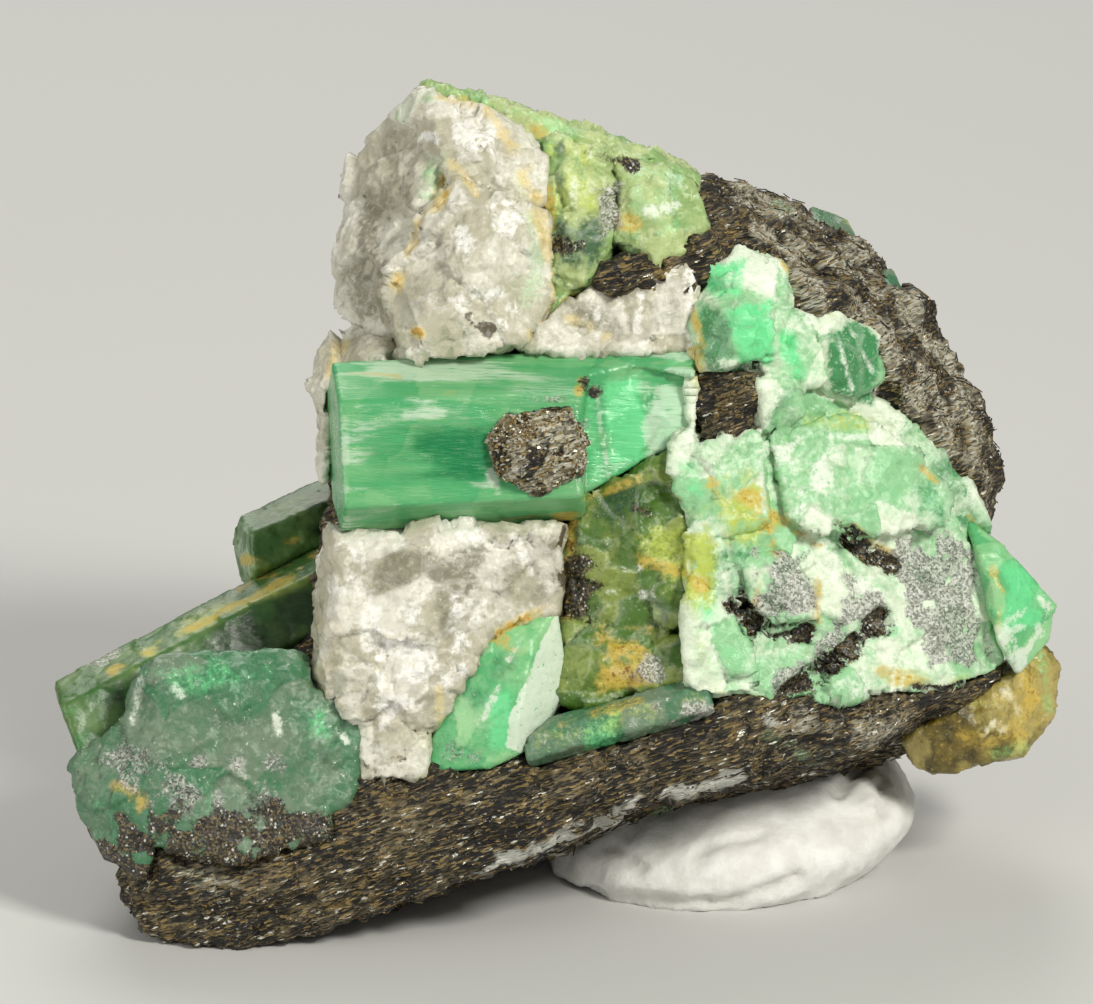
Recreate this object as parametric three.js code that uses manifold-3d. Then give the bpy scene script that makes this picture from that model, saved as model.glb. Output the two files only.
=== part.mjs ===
// Emerald in matrix: hexagonal beryl prisms and broken green beryl with milky quartz, grown in
// dark mica schist, and propped up on a pressed lump of white putty.
// Millimetres, +Z up, the face it is shown by looks towards -Y.
import * as THREE from "three";
import { ConvexGeometry } from "three/addons/geometries/ConvexGeometry.js";
import { ImprovedNoise } from "three/addons/math/ImprovedNoise.js";
import { TessellateModifier } from "three/addons/modifiers/TessellateModifier.js";
import { mergeVertices } from "three/addons/utils/BufferGeometryUtils.js";
import Module from "manifold-3d";

const wasm = await Module();
wasm.setup();

// Driving dimensions
const WIDTH = 81; // over the whole specimen, left to right
const LEAN = THREE.MathUtils.degToRad(18); // the shown face leans back from upright
const EYE_DISTANCE = 600; // the face is drawn as an eye at this distance sees it
const EYE_RIGHT = -0.7; // what the eye looks straight at, measured on the face
const EYE_UP = 35.4;
const SEAM = 0.3; // gap between pieces that grew against each other

// How coarse and how deep the broken surface of each rock is
const SCHIST_GRAIN = { step: 11, relief: 1.0, size: 6.0 };
const QUARTZ_GRAIN = { step: 7.5, relief: 0.7, size: 4.4 };
const BERYL_GRAIN = { step: 7.5, relief: 0.45, size: 3.8 };
const SMOOTH = null;

// Every point below is [right, up, near] on an 81 mm wide drawing of the shown face: right and up
// as the eye sees them, and near measured towards the eye from the point where the toe meets the ground.
const DRAWN_WIDTH = 81;
const TOWARDS_EYE = new THREE.Vector3(0, -Math.cos(LEAN), Math.sin(LEAN));
const UP_FACE = new THREE.Vector3(0, Math.sin(LEAN), Math.cos(LEAN));

function seen([right, up, near]) {
  const spread = (EYE_DISTANCE - near) / EYE_DISTANCE;
  return new THREE.Vector3(EYE_RIGHT + (right - EYE_RIGHT) * spread, 0, 0)
    .addScaledVector(UP_FACE, EYE_UP + (up - EYE_UP) * spread)
    .addScaledVector(TOWARDS_EYE, near)
    .multiplyScalar(WIDTH / DRAWN_WIDTH);
}

// Only positions are kept, so that corners shared by faces become one vertex.
function welded(geometry) {
  const bare = new THREE.BufferGeometry();
  bare.setAttribute("position", geometry.getAttribute("position"));
  bare.setIndex(geometry.index);
  return mergeVertices(bare, 1e-3);
}

// Moves every vertex along its own normal by what distance(point) says.
function pushed(geometry, distance) {
  geometry.computeVertexNormals();
  const { position, normal } = geometry.attributes;
  const point = new THREE.Vector3();
  const out = new THREE.Vector3();
  for (let i = 0; i < position.count; i++) {
    point.fromBufferAttribute(position, i);
    out.fromBufferAttribute(normal, i);
    point.addScaledVector(out, distance(point));
    position.setXYZ(i, point.x, point.y, point.z);
  }
  return geometry;
}

function solidOf(geometry) {
  return new wasm.Manifold(
    new wasm.Mesh({
      numProp: 3,
      vertProperties: new Float32Array(geometry.attributes.position.array),
      triVerts: new Uint32Array(geometry.index.array),
    }),
  );
}

function geometryOf(solid) {
  const { vertProperties, triVerts } = solid.getMesh();
  const geometry = new THREE.BufferGeometry();
  geometry.setAttribute("position", new THREE.BufferAttribute(vertProperties, 3));
  geometry.setIndex(new THREE.BufferAttribute(triVerts, 1));
  return geometry;
}

// One lump of rock: the hull of its points, broken up by noise where it has a grain.
const noise = new ImprovedNoise();
const SPLITS = 12;

function lump(points, grain = SMOOTH) {
  const hull = new ConvexGeometry(points.map(seen));
  if (!grain) return solidOf(welded(hull));
  const split = welded(new TessellateModifier(grain.step, SPLITS).modify(hull));
  const height = ({ x, y, z }) =>
    grain.relief * noise.noise(x / grain.size, y / grain.size, z / grain.size);
  return solidOf(pushed(split, height));
}

// A crystal prism from one end's middle to the other's. The section lists its corners as [up, near]
// from the axis, and each cut says how far past the end's middle every corner reaches along the axis.
const SQUARE_END = [0, 0, 0, 0, 0, 0];

function prism(from, to, section, startCut = SQUARE_END, endCut = SQUARE_END) {
  const start = seen(from);
  const end = seen(to);
  const along = end.clone().sub(start).normalize();
  const near = TOWARDS_EYE.clone().projectOnPlane(along).normalize();
  const up = new THREE.Vector3().crossVectors(near, along);
  const scale = WIDTH / DRAWN_WIDTH;
  const corner = (middle, cut) => ([rise, reach], i) =>
    middle
      .clone()
      .addScaledVector(up, rise * scale)
      .addScaledVector(near, reach * scale)
      .addScaledVector(along, cut[i] * scale);
  const corners = [...section.map(corner(start, startCut)), ...section.map(corner(end, endCut))];
  return solidOf(welded(new ConvexGeometry(corners)));
}

const joined = (...solids) => solids.reduce((whole, solid) => whole.add(solid));
const carved = (solid, ...cutters) => cutters.reduce((rest, cutter) => rest.subtract(cutter), solid);

// The solid with every face moved out by the seam, for cutting its socket into a neighbour. A corner
// goes to where the moved faces around it meet, or as near to that as they allow.
const LEAST_FACE = 1e-4;
const LIMIT = 0.02;

function socketOf(solid) {
  const geometry = welded(geometryOf(solid));
  const { position } = geometry.attributes;
  const corners = geometry.index.array;
  const facing = Array.from({ length: position.count }, () => []);
  const triangle = new THREE.Triangle();
  for (let i = 0; i < corners.length; i += 3) {
    const ends = [corners[i], corners[i + 1], corners[i + 2]];
    triangle.setFromAttributeAndIndices(position, ...ends);
    if (triangle.getArea() < LEAST_FACE) continue;
    const normal = triangle.getNormal(new THREE.Vector3());
    ends.forEach((corner) => facing[corner].push(normal));
  }
  const point = new THREE.Vector3();
  facing.forEach((normals, i) => {
    const sum = (pick) => normals.reduce((total, normal) => total + pick(normal), 0);
    const keep = LIMIT * normals.length + 1e-9;
    const xy = sum((n) => n.x * n.y);
    const xz = sum((n) => n.x * n.z);
    const yz = sum((n) => n.y * n.z);
    const spread = new THREE.Matrix3(
      sum((n) => n.x * n.x) + keep, xy, xz,
      xy, sum((n) => n.y * n.y) + keep, yz,
      xz, yz, sum((n) => n.z * n.z) + keep,
    );
    const step = new THREE.Vector3(sum((n) => n.x), sum((n) => n.y), sum((n) => n.z));
    step.applyMatrix3(spread.invert()).multiplyScalar(SEAM);
    point.fromBufferAttribute(position, i).add(step);
    position.setXYZ(i, point.x, point.y, point.z);
  });
  return solidOf(geometry);
}

// A cut can leave crumbs behind: the piece is the largest body once its corners are welded.
function largest(solid) {
  const most = (bodies) => bodies.reduce((big, body) => (body.volume() > big.volume() ? body : big));
  const whole = most(solid.decompose());
  return most(solidOf(welded(geometryOf(whole))).decompose());
}

// Main prism: lies across the face, its right end snapped off in two steps
const MAIN_LEFT = [-17.4, 39.8, 2.4];
const MAIN_RIGHT = [11.0, 41.2, -0.8];
const MAIN_SECTION = [
  [6.6, 0.2],
  [3.4, 4.3],
  [-4.8, 4.3],
  [-6.6, 0.6],
  [-4.2, -6.0],
  [4.2, -6.0],
];

function mainPrism() {
  const frontStep = lump([
    [2.8, 46.0, 2.6],
    [2.0, 41.0, 2.0],
    [2.4, 34.0, 2.2],
    [7.0, 46.2, 1.0],
    [12.5, 45.0, 0.4],
    [12.5, 34.0, 0.4],
    [1.8, 46.2, 9.0],
    [1.8, 34.0, 9.0],
    [12.5, 46.0, 9.0],
    [12.5, 34.0, 9.0],
  ]);
  const lowerStep = lump([
    [2.2, 36.2, 9.0],
    [7.0, 37.8, 9.0],
    [12.5, 41.6, 9.0],
    [12.5, 30.0, 9.0],
    [2.2, 30.0, 9.0],
    [2.2, 36.2, -9.0],
    [7.0, 37.8, -9.0],
    [12.5, 41.6, -9.0],
    [12.5, 30.0, -9.0],
    [2.2, 30.0, -9.0],
  ]);
  return carved(prism(MAIN_LEFT, MAIN_RIGHT, MAIN_SECTION), frontStep, lowerStep);
}

// Scab of mica left on the main prism's front face
function micaScab() {
  return lump(
    [
      [-5.4, 40.6, 5.6],
      [-4.0, 42.2, 5.4],
      [1.0, 42.9, 5.0],
      [2.5, 40.0, 4.8],
      [2.3, 37.6, 4.6],
      [-1.6, 36.0, 5.2],
      [-4.6, 37.6, 5.6],
      [-3.4, 40.0, 7.2],
      [0.2, 41.0, 6.8],
      [1.0, 38.4, 6.4],
      [-2.6, 37.6, 6.9],
      [-1.0, 39.4, 3.0],
    ],
    { step: 2.4, relief: 0.5, size: 1.6 },
  );
}

// Two prisms that run back from the lower left
const LONG_SECTION = [
  [3.3, -1.2],
  [1.4, 2.6],
  [-2.6, 3.2],
  [-4.4, 0.0],
  [-2.6, -4.0],
  [2.0, -4.6],
];
const LONG_BROKEN_END = [1.4, 0.2, -0.5, 0.4, 1.6, 1.8];
const longPrism = () =>
  prism([-39.4, 17.5, -5.0], [-12.0, 31.9, -14.0], LONG_SECTION, LONG_BROKEN_END);

const SHORT_SECTION = [
  [3.0, -0.6],
  [1.2, 2.4],
  [-1.6, 2.4],
  [-3.0, 0.4],
  [-1.8, -2.6],
  [1.4, -2.8],
];
const SHORT_SLANTED_END = [1.6, 1.0, -0.1, -0.3, 0.2, 1.0];
const shortPrism = () =>
  prism([-25.2, 31.0, -13.0], [-13.0, 36.4, -18.0], SHORT_SECTION, SHORT_SLANTED_END);

// Stub: the stout frosted crystal at the lower left, with a shoulder and a broken flank
function stub() {
  const body = [
    [-32.4, 22.2, 0.2],
    [-29.9, 23.0, 0.4],
    [-20.4, 23.3, 0.6],
    [-20.2, 20.4, 2.2],
    [-34.0, 20.4, 0.2],
    [-34.4, 17.8, 0.8],
    [-31.6, 21.2, 2.2],
    [-21.0, 21.4, 2.4],
    [-31.0, 10.0, 4.0],
    [-20.0, 9.0, 4.0],
    [-18.4, 12.0, 3.4],
    [-33.0, 8.4, 3.2],
    [-26.0, 6.8, 3.8],
    [-18.2, 8.4, 3.4],
    [-33.0, 21.0, -7.0],
    [-20.0, 22.6, -7.0],
    [-20.0, 8.0, -8.0],
    [-34.0, 8.0, -8.0],
  ];
  const shoulder = [
    [-24.0, 19.6, 0.4],
    [-19.8, 20.2, 1.8],
    [-16.0, 18.6, 1.8],
    [-15.6, 14.4, 2.4],
    [-16.4, 11.4, 3.0],
    [-20.0, 10.0, 3.7],
    [-19.6, 17.8, 3.3],
    [-17.6, 16.0, 3.2],
    [-22.0, 20.0, -6.0],
    [-16.0, 18.0, -6.0],
    [-16.4, 12.0, -6.0],
  ];
  const flank = [
    [-34.6, 18.0, 0.4],
    [-38.4, 14.4, -0.6],
    [-37.8, 10.8, 0.2],
    [-36.4, 7.8, 0.8],
    [-33.0, 5.4, 2.2],
    [-31.0, 11.0, 3.8],
    [-33.4, 15.6, 2.2],
    [-36.0, 12.4, 1.8],
    [-34.0, 17.0, -7.0],
    [-37.6, 12.0, -7.0],
    [-34.0, 6.0, -7.0],
  ];
  return joined(lump(body, BERYL_GRAIN), lump(shoulder, BERYL_GRAIN), lump(flank, BERYL_GRAIN));
}

// Wedge: two cleaved faces that meet in an upright edge
function wedge() {
  return lump([
    [-10.0, 13.8, 2.0],
    [-9.8, 16.4, 2.2],
    [-6.8, 22.6, 3.2],
    [-4.2, 25.2, 3.2],
    [0.0, 26.6, 1.8],
    [0.6, 23.4, 1.4],
    [0.2, 19.6, 1.4],
    [-2.0, 16.0, 2.4],
    [-3.2, 15.2, 3.6],
    [-5.4, 14.2, 3.2],
    [-1.8, 24.2, 3.6],
    [-3.0, 18.0, 4.4],
    [-9.0, 15.0, -5.0],
    [-4.0, 24.0, -5.0],
    [0.0, 25.0, -5.0],
    [0.0, 17.0, -5.0],
  ]);
}

// Slim prism along the foot of the face
const STRIP_SECTION = [
  [1.5, 0.0],
  [0.7, 1.4],
  [-1.0, 1.5],
  [-1.7, 0.2],
  [-1.0, -1.8],
  [0.9, -1.8],
];
const strip = () => prism([-2.4, 15.9, 2.0], [12.2, 20.0, 1.8], STRIP_SECTION);

// Right-hand tip: a clean crystal corner that points out of the rock
function tip() {
  return lump([
    [33.0, 33.8, -7.4],
    [35.6, 32.0, -6.4],
    [39.9, 27.1, -8.0],
    [39.4, 24.4, -8.4],
    [37.0, 21.8, -7.0],
    [35.4, 24.4, -5.0],
    [35.2, 28.6, -4.6],
    [34.0, 31.0, -5.4],
    [34.0, 33.0, -15.0],
    [38.0, 28.0, -15.0],
    [37.0, 22.6, -14.0],
  ]);
}

// Broken mass: pale shattered beryl over the whole right side, with blocky crystals at its top
function brokenMass() {
  const face = [
    [10.9, 47.4, 0.6],
    [11.8, 40.0, 3.0],
    [10.8, 31.6, 3.4],
    [10.6, 24.6, 3.4],
    [10.6, 20.4, 3.0],
    [16.4, 19.6, 2.4],
    [24.0, 20.2, -0.4],
    [31.6, 20.6, -4.4],
    [35.4, 22.2, -7.0],
    [34.6, 33.0, -8.0],
    [32.6, 37.2, -7.6],
    [27.8, 42.0, -5.4],
    [24.4, 44.0, -4.0],
    [19.6, 46.0, -1.4],
    [15.0, 47.6, 0.0],
    [11.0, 46.0, -7.0],
    [12.0, 22.0, -6.0],
    [33.0, 23.0, -12.0],
    [33.0, 34.0, -12.0],
    [24.0, 43.0, -10.0],
  ];
  const plate = [
    [17.2, 40.6, 1.4],
    [23.6, 42.4, -1.4],
    [27.8, 40.4, -3.0],
    [31.2, 35.8, -4.6],
    [30.6, 33.4, -4.0],
    [23.6, 32.6, 0.4],
    [18.8, 34.0, 2.2],
    [19.0, 40.0, -6.0],
    [29.0, 36.0, -10.0],
  ];
  const ridge = [
    [11.4, 33.0, 3.8],
    [10.6, 28.0, 4.2],
    [10.9, 24.2, 4.4],
    [10.4, 21.2, 4.0],
    [11.8, 19.8, 3.6],
    [15.8, 20.2, 3.0],
    [15.0, 26.0, 3.6],
    [13.4, 32.0, 3.6],
    [12.0, 31.0, -4.0],
    [12.0, 21.0, -4.0],
  ];
  const knuckle = [
    [15.4, 30.6, 2.6],
    [18.2, 31.2, 2.4],
    [21.0, 29.0, 1.6],
    [20.6, 26.2, 1.6],
    [17.4, 25.6, 2.6],
    [15.2, 27.6, 3.0],
    [18.0, 28.6, 3.8],
    [18.0, 28.6, -2.0],
  ];
  const brow = [
    [9.6, 41.0, 2.8],
    [14.5, 42.0, 2.6],
    [16.8, 40.0, 2.4],
    [17.0, 34.0, 2.8],
    [12.0, 32.6, 3.6],
    [9.4, 36.6, 3.4],
    [13.0, 37.0, 4.2],
    [12.0, 40.0, -4.0],
    [15.0, 34.0, -4.0],
  ];
  const brightBlock = [
    [11.8, 51.8, 0.6],
    [11.0, 49.6, 1.0],
    [12.0, 46.4, 1.6],
    [13.4, 46.6, 2.8],
    [17.8, 47.4, 1.8],
    [18.6, 50.8, 0.8],
    [18.4, 54.2, -0.6],
    [14.8, 55.6, -0.6],
    [13.0, 53.6, 0.0],
    [15.0, 50.2, 3.6],
    [12.0, 52.0, -7.0],
    [12.0, 47.0, -7.0],
    [18.0, 54.0, -7.0],
    [18.0, 47.0, -7.0],
  ];
  const darkBlock = [
    [20.8, 49.6, -0.6],
    [22.6, 50.6, -1.4],
    [25.6, 48.6, -2.8],
    [25.9, 45.4, -2.8],
    [24.0, 43.8, -1.8],
    [21.6, 44.4, -0.6],
    [22.8, 47.0, 0.6],
    [22.0, 49.0, -8.0],
    [25.0, 46.0, -8.0],
    [22.0, 45.0, -8.0],
  ];
  const paleBlock = [
    [17.8, 50.6, -0.2],
    [20.6, 50.0, -0.6],
    [21.4, 45.0, 0.0],
    [17.6, 44.6, 1.0],
    [16.4, 46.6, 1.2],
    [19.0, 47.6, 1.2],
    [18.0, 50.0, -8.0],
    [21.0, 45.0, -8.0],
    [17.0, 45.0, -8.0],
  ];
  const smallBlock = [
    [16.2, 45.4, 1.6],
    [19.0, 45.0, 1.0],
    [19.8, 42.6, 0.8],
    [18.0, 40.6, 1.2],
    [16.4, 41.6, 1.6],
    [17.6, 43.4, 2.6],
    [17.6, 43.0, -4.0],
  ];
  const hollow = [
    [10.0, 46.4, -14.0],
    [15.4, 45.8, -14.0],
    [15.6, 41.4, -14.0],
    [10.0, 40.4, -14.0],
    [11.4, 46.6, 9.0],
    [15.8, 46.2, 9.0],
    [16.0, 41.0, 9.0],
    [14.0, 39.8, 9.0],
    [11.6, 40.0, 9.0],
  ];
  const rough = [face, plate, ridge, knuckle, brow].map((points) => lump(points, BERYL_GRAIN));
  const blocks = [brightBlock, darkBlock, paleBlock, smallBlock].map((points) => lump(points));
  return carved(joined(...rough, ...blocks), lump(hollow));
}

// Recess below the main prism's broken end: dark beryl, rust-stained at its foot
function recess() {
  const upper = [
    [1.4, 35.4, 0.8],
    [6.8, 37.0, 1.4],
    [10.4, 39.8, 1.6],
    [10.6, 33.0, 2.6],
    [10.4, 26.4, 2.2],
    [7.6, 24.2, 1.2],
    [3.4, 24.2, 0.2],
    [1.0, 25.8, -0.6],
    [1.0, 32.0, 0.0],
    [2.0, 35.0, -5.0],
    [10.0, 38.0, -5.0],
    [10.0, 24.0, -5.0],
    [2.0, 24.0, -5.0],
  ];
  const lower = [
    [0.2, 25.8, 0.6],
    [3.6, 25.2, 1.2],
    [7.0, 24.8, 1.4],
    [10.4, 24.6, 1.6],
    [10.4, 20.8, 1.6],
    [4.0, 18.4, 1.6],
    [0.2, 19.6, 1.4],
    [3.6, 22.4, 2.2],
    [1.0, 25.0, -4.0],
    [10.0, 24.0, -4.0],
    [10.0, 21.0, -4.0],
    [1.0, 20.0, -4.0],
  ];
  return joined(lump(upper, BERYL_GRAIN), lump(lower, BERYL_GRAIN));
}

// Cap: the green skin along the top edge, and the stained lumps below it
function cap() {
  const skin = [
    [-10.5, 68.7, -3.8],
    [-10.2, 66.0, -3.8],
    [-6.0, 68.0, -3.2],
    [-2.0, 66.6, -2.6],
    [2.0, 64.7, -2.2],
    [6.8, 63.5, -2.8],
    [11.2, 61.5, -3.6],
    [0.0, 62.0, -1.5],
    [10.0, 58.0, -3.0],
    [-9.0, 67.5, -12.0],
    [0.0, 65.4, -18.0],
    [8.0, 62.4, -19.0],
    [11.0, 59.4, -17.0],
    [-8.0, 60.0, -12.0],
    [8.0, 57.0, -14.0],
    [0.0, 58.0, -13.0],
  ];
  const stained = [
    [-0.9, 64.6, -0.6],
    [3.8, 63.4, -1.2],
    [4.8, 57.4, -0.6],
    [3.8, 54.0, 0.0],
    [1.2, 52.4, 0.4],
    [-0.4, 50.6, 0.0],
    [-0.6, 57.6, 0.4],
    [2.0, 60.0, 0.6],
    [-0.6, 64.0, -8.0],
    [4.6, 62.6, -8.0],
    [4.0, 53.0, -7.0],
    [-0.4, 51.0, -7.0],
  ];
  const greenLump = [
    [5.2, 62.6, -1.6],
    [8.4, 62.4, -2.4],
    [10.8, 60.8, -2.6],
    [11.8, 57.4, -1.2],
    [10.4, 54.6, -0.8],
    [7.8, 53.8, -0.4],
    [5.2, 56.4, -0.2],
    [7.6, 58.6, 1.2],
    [9.6, 56.8, 0.8],
    [5.4, 62.0, -8.0],
    [11.0, 60.0, -8.0],
    [11.6, 56.0, -7.0],
    [5.4, 55.0, -7.0],
  ];
  const darkLump = [
    [0.4, 58.6, 0.4],
    [3.4, 57.8, 0.2],
    [3.9, 55.2, 0.2],
    [2.2, 52.8, 0.6],
    [-0.1, 54.0, 0.6],
    [1.6, 56.0, 1.8],
    [0.4, 58.0, -5.0],
    [3.4, 57.6, -5.0],
    [2.0, 53.0, -5.0],
  ];
  return joined(
    lump(skin, BERYL_GRAIN),
    lump(stained, BERYL_GRAIN),
    lump(greenLump, BERYL_GRAIN),
    lump(darkLump),
  );
}

// Two small crystals that break the skyline at the upper right
function upperKnob() {
  return lump([
    [20.4, 58.9, -17.5],
    [23.2, 57.9, -17.0],
    [24.8, 54.7, -16.6],
    [23.6, 52.6, -14.6],
    [20.0, 55.4, -14.4],
    [21.8, 56.6, -13.8],
    [20.8, 58.6, -21.0],
    [23.4, 57.4, -21.6],
    [24.8, 54.0, -21.0],
    [21.0, 52.0, -21.0],
  ]);
}

function lowerKnob() {
  return lump([
    [24.9, 53.5, -12.0],
    [26.9, 54.0, -12.6],
    [27.9, 52.0, -12.4],
    [25.4, 50.2, -9.6],
    [26.0, 52.4, -10.0],
    [25.6, 53.2, -15.6],
    [27.6, 51.8, -16.0],
    [26.0, 49.6, -15.0],
  ]);
}

// Upper quartz: a grey slab on the left, two lumps in front of it and a knob behind the main prism
function quartzCrown() {
  const slab = [
    [-10.6, 68.4, -3.5],
    [-12.9, 66.2, -6.0],
    [-16.0, 62.7, -8.0],
    [-16.7, 60.2, -8.0],
    [-16.8, 52.8, -7.0],
    [-16.2, 49.6, -6.0],
    [-14.6, 46.8, -5.0],
    [-9.2, 63.6, 0.2],
    [-11.2, 58.4, 0.4],
    [-13.2, 52.4, 0.6],
    [-12.0, 47.0, 0.6],
    [-7.0, 67.0, -14.0],
    [-14.0, 61.0, -15.0],
    [-14.0, 47.0, -12.0],
    [-5.0, 47.0, -10.0],
  ];
  const upperLump = [
    [-10.2, 68.2, -2.6],
    [-7.0, 67.0, -1.5],
    [-2.6, 65.0, -0.5],
    [-0.8, 63.0, 0.2],
    [-0.8, 59.4, 0.0],
    [-4.2, 59.2, 1.6],
    [-8.2, 61.4, 1.2],
    [-9.3, 63.6, 0.6],
    [-5.5, 63.5, 1.8],
    [-9.0, 66.0, -6.0],
    [-1.0, 63.0, -6.0],
    [-1.0, 58.0, -6.0],
    [-9.0, 60.0, -6.0],
  ];
  const frontLump = [
    [-8.0, 61.2, 1.8],
    [-4.4, 59.8, 2.6],
    [-1.4, 58.2, 1.4],
    [0.0, 54.6, 0.6],
    [-0.6, 51.6, 1.0],
    [-3.0, 48.6, 2.2],
    [-5.0, 47.2, 2.8],
    [-12.0, 47.0, 2.4],
    [-13.4, 52.2, 1.8],
    [-11.4, 57.6, 1.6],
    [-6.4, 56.0, 4.8],
    [-8.0, 50.5, 4.6],
    [-1.0, 57.0, -6.0],
    [-1.5, 48.0, -6.0],
    [-12.0, 47.0, -6.0],
    [-11.0, 57.0, -6.0],
  ];
  const knob = [
    [-17.0, 48.6, -5.0],
    [-19.0, 46.8, -4.5],
    [-19.4, 44.4, -3.5],
    [-19.2, 41.0, -3.0],
    [-18.6, 37.0, -3.0],
    [-14.0, 48.8, -2.0],
    [-14.0, 46.5, 1.0],
    [-13.0, 44.0, -1.0],
    [-14.0, 48.0, -10.0],
    [-18.0, 45.0, -9.0],
    [-17.0, 38.0, -8.0],
    [-12.0, 40.0, -7.0],
  ];
  return joined(...[slab, upperLump, frontLump, knob].map((points) => lump(points, QUARTZ_GRAIN)));
}

// Lower quartz: the white block under the main prism, drawn in to a small foot
function quartzBlock() {
  const block = [
    [-17.6, 33.1, -2.0],
    [-17.3, 33.0, 3.6],
    [-9.0, 32.8, 4.4],
    [0.6, 33.4, 2.4],
    [-19.1, 27.4, -1.5],
    [-19.5, 20.0, -1.0],
    [-17.0, 26.5, 4.2],
    [-16.8, 19.4, 3.2],
    [-11.0, 24.4, 5.2],
    [-7.4, 28.6, 4.8],
    [-12.6, 29.6, 5.0],
    [-15.6, 17.0, 2.0],
    [-11.6, 16.5, 2.8],
    [-9.6, 17.8, 3.2],
    [-6.8, 22.4, 3.4],
    [-4.0, 24.8, 3.0],
    [0.2, 26.6, 1.8],
    [-17.0, 33.0, -7.0],
    [0.6, 33.0, -5.0],
    [0.2, 26.0, -5.0],
    [-8.0, 17.0, -5.0],
    [-17.0, 18.0, -6.0],
  ];
  const foot = [
    [-16.2, 17.4, 1.6],
    [-15.4, 13.2, 2.6],
    [-12.6, 13.4, 3.6],
    [-10.4, 13.6, 3.2],
    [-10.0, 16.8, 2.6],
    [-13.0, 17.6, 3.4],
    [-16.0, 17.0, -6.0],
    [-15.5, 13.0, -6.0],
    [-10.0, 13.0, -6.0],
    [-10.0, 17.0, -6.0],
  ];
  return joined(lump(block, QUARTZ_GRAIN), lump(foot, QUARTZ_GRAIN));
}

// Quartz seam between the main prism and the cap
function quartzSeam() {
  return lump(
    [
      [-0.6, 49.4, 0.8],
      [2.8, 52.6, 0.2],
      [6.8, 53.8, -0.4],
      [10.9, 53.8, -0.6],
      [11.6, 49.6, 0.2],
      [11.0, 47.6, 0.4],
      [1.5, 47.2, 1.4],
      [-2.6, 47.8, 1.6],
      [-1.0, 49.0, -5.0],
      [3.0, 53.0, -5.0],
      [11.0, 54.0, -5.0],
      [11.4, 47.0, -5.0],
      [0.0, 46.0, -5.0],
    ],
    QUARTZ_GRAIN,
  );
}

// Rust-coated lump that hangs under the right end
function rustyLump() {
  return lump(
    [
      [28.0, 16.4, -9.0],
      [28.8, 14.4, -10.0],
      [30.8, 13.9, -9.6],
      [37.2, 15.2, -10.0],
      [39.6, 18.4, -11.5],
      [39.8, 22.2, -12.0],
      [39.2, 24.0, -12.5],
      [36.4, 21.4, -8.4],
      [31.6, 18.8, -8.0],
      [35.0, 17.6, -7.6],
      [29.0, 15.6, -20.0],
      [37.0, 16.0, -21.0],
      [39.0, 22.0, -20.0],
      [32.0, 21.0, -20.0],
    ],
    BERYL_GRAIN,
  );
}

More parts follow.
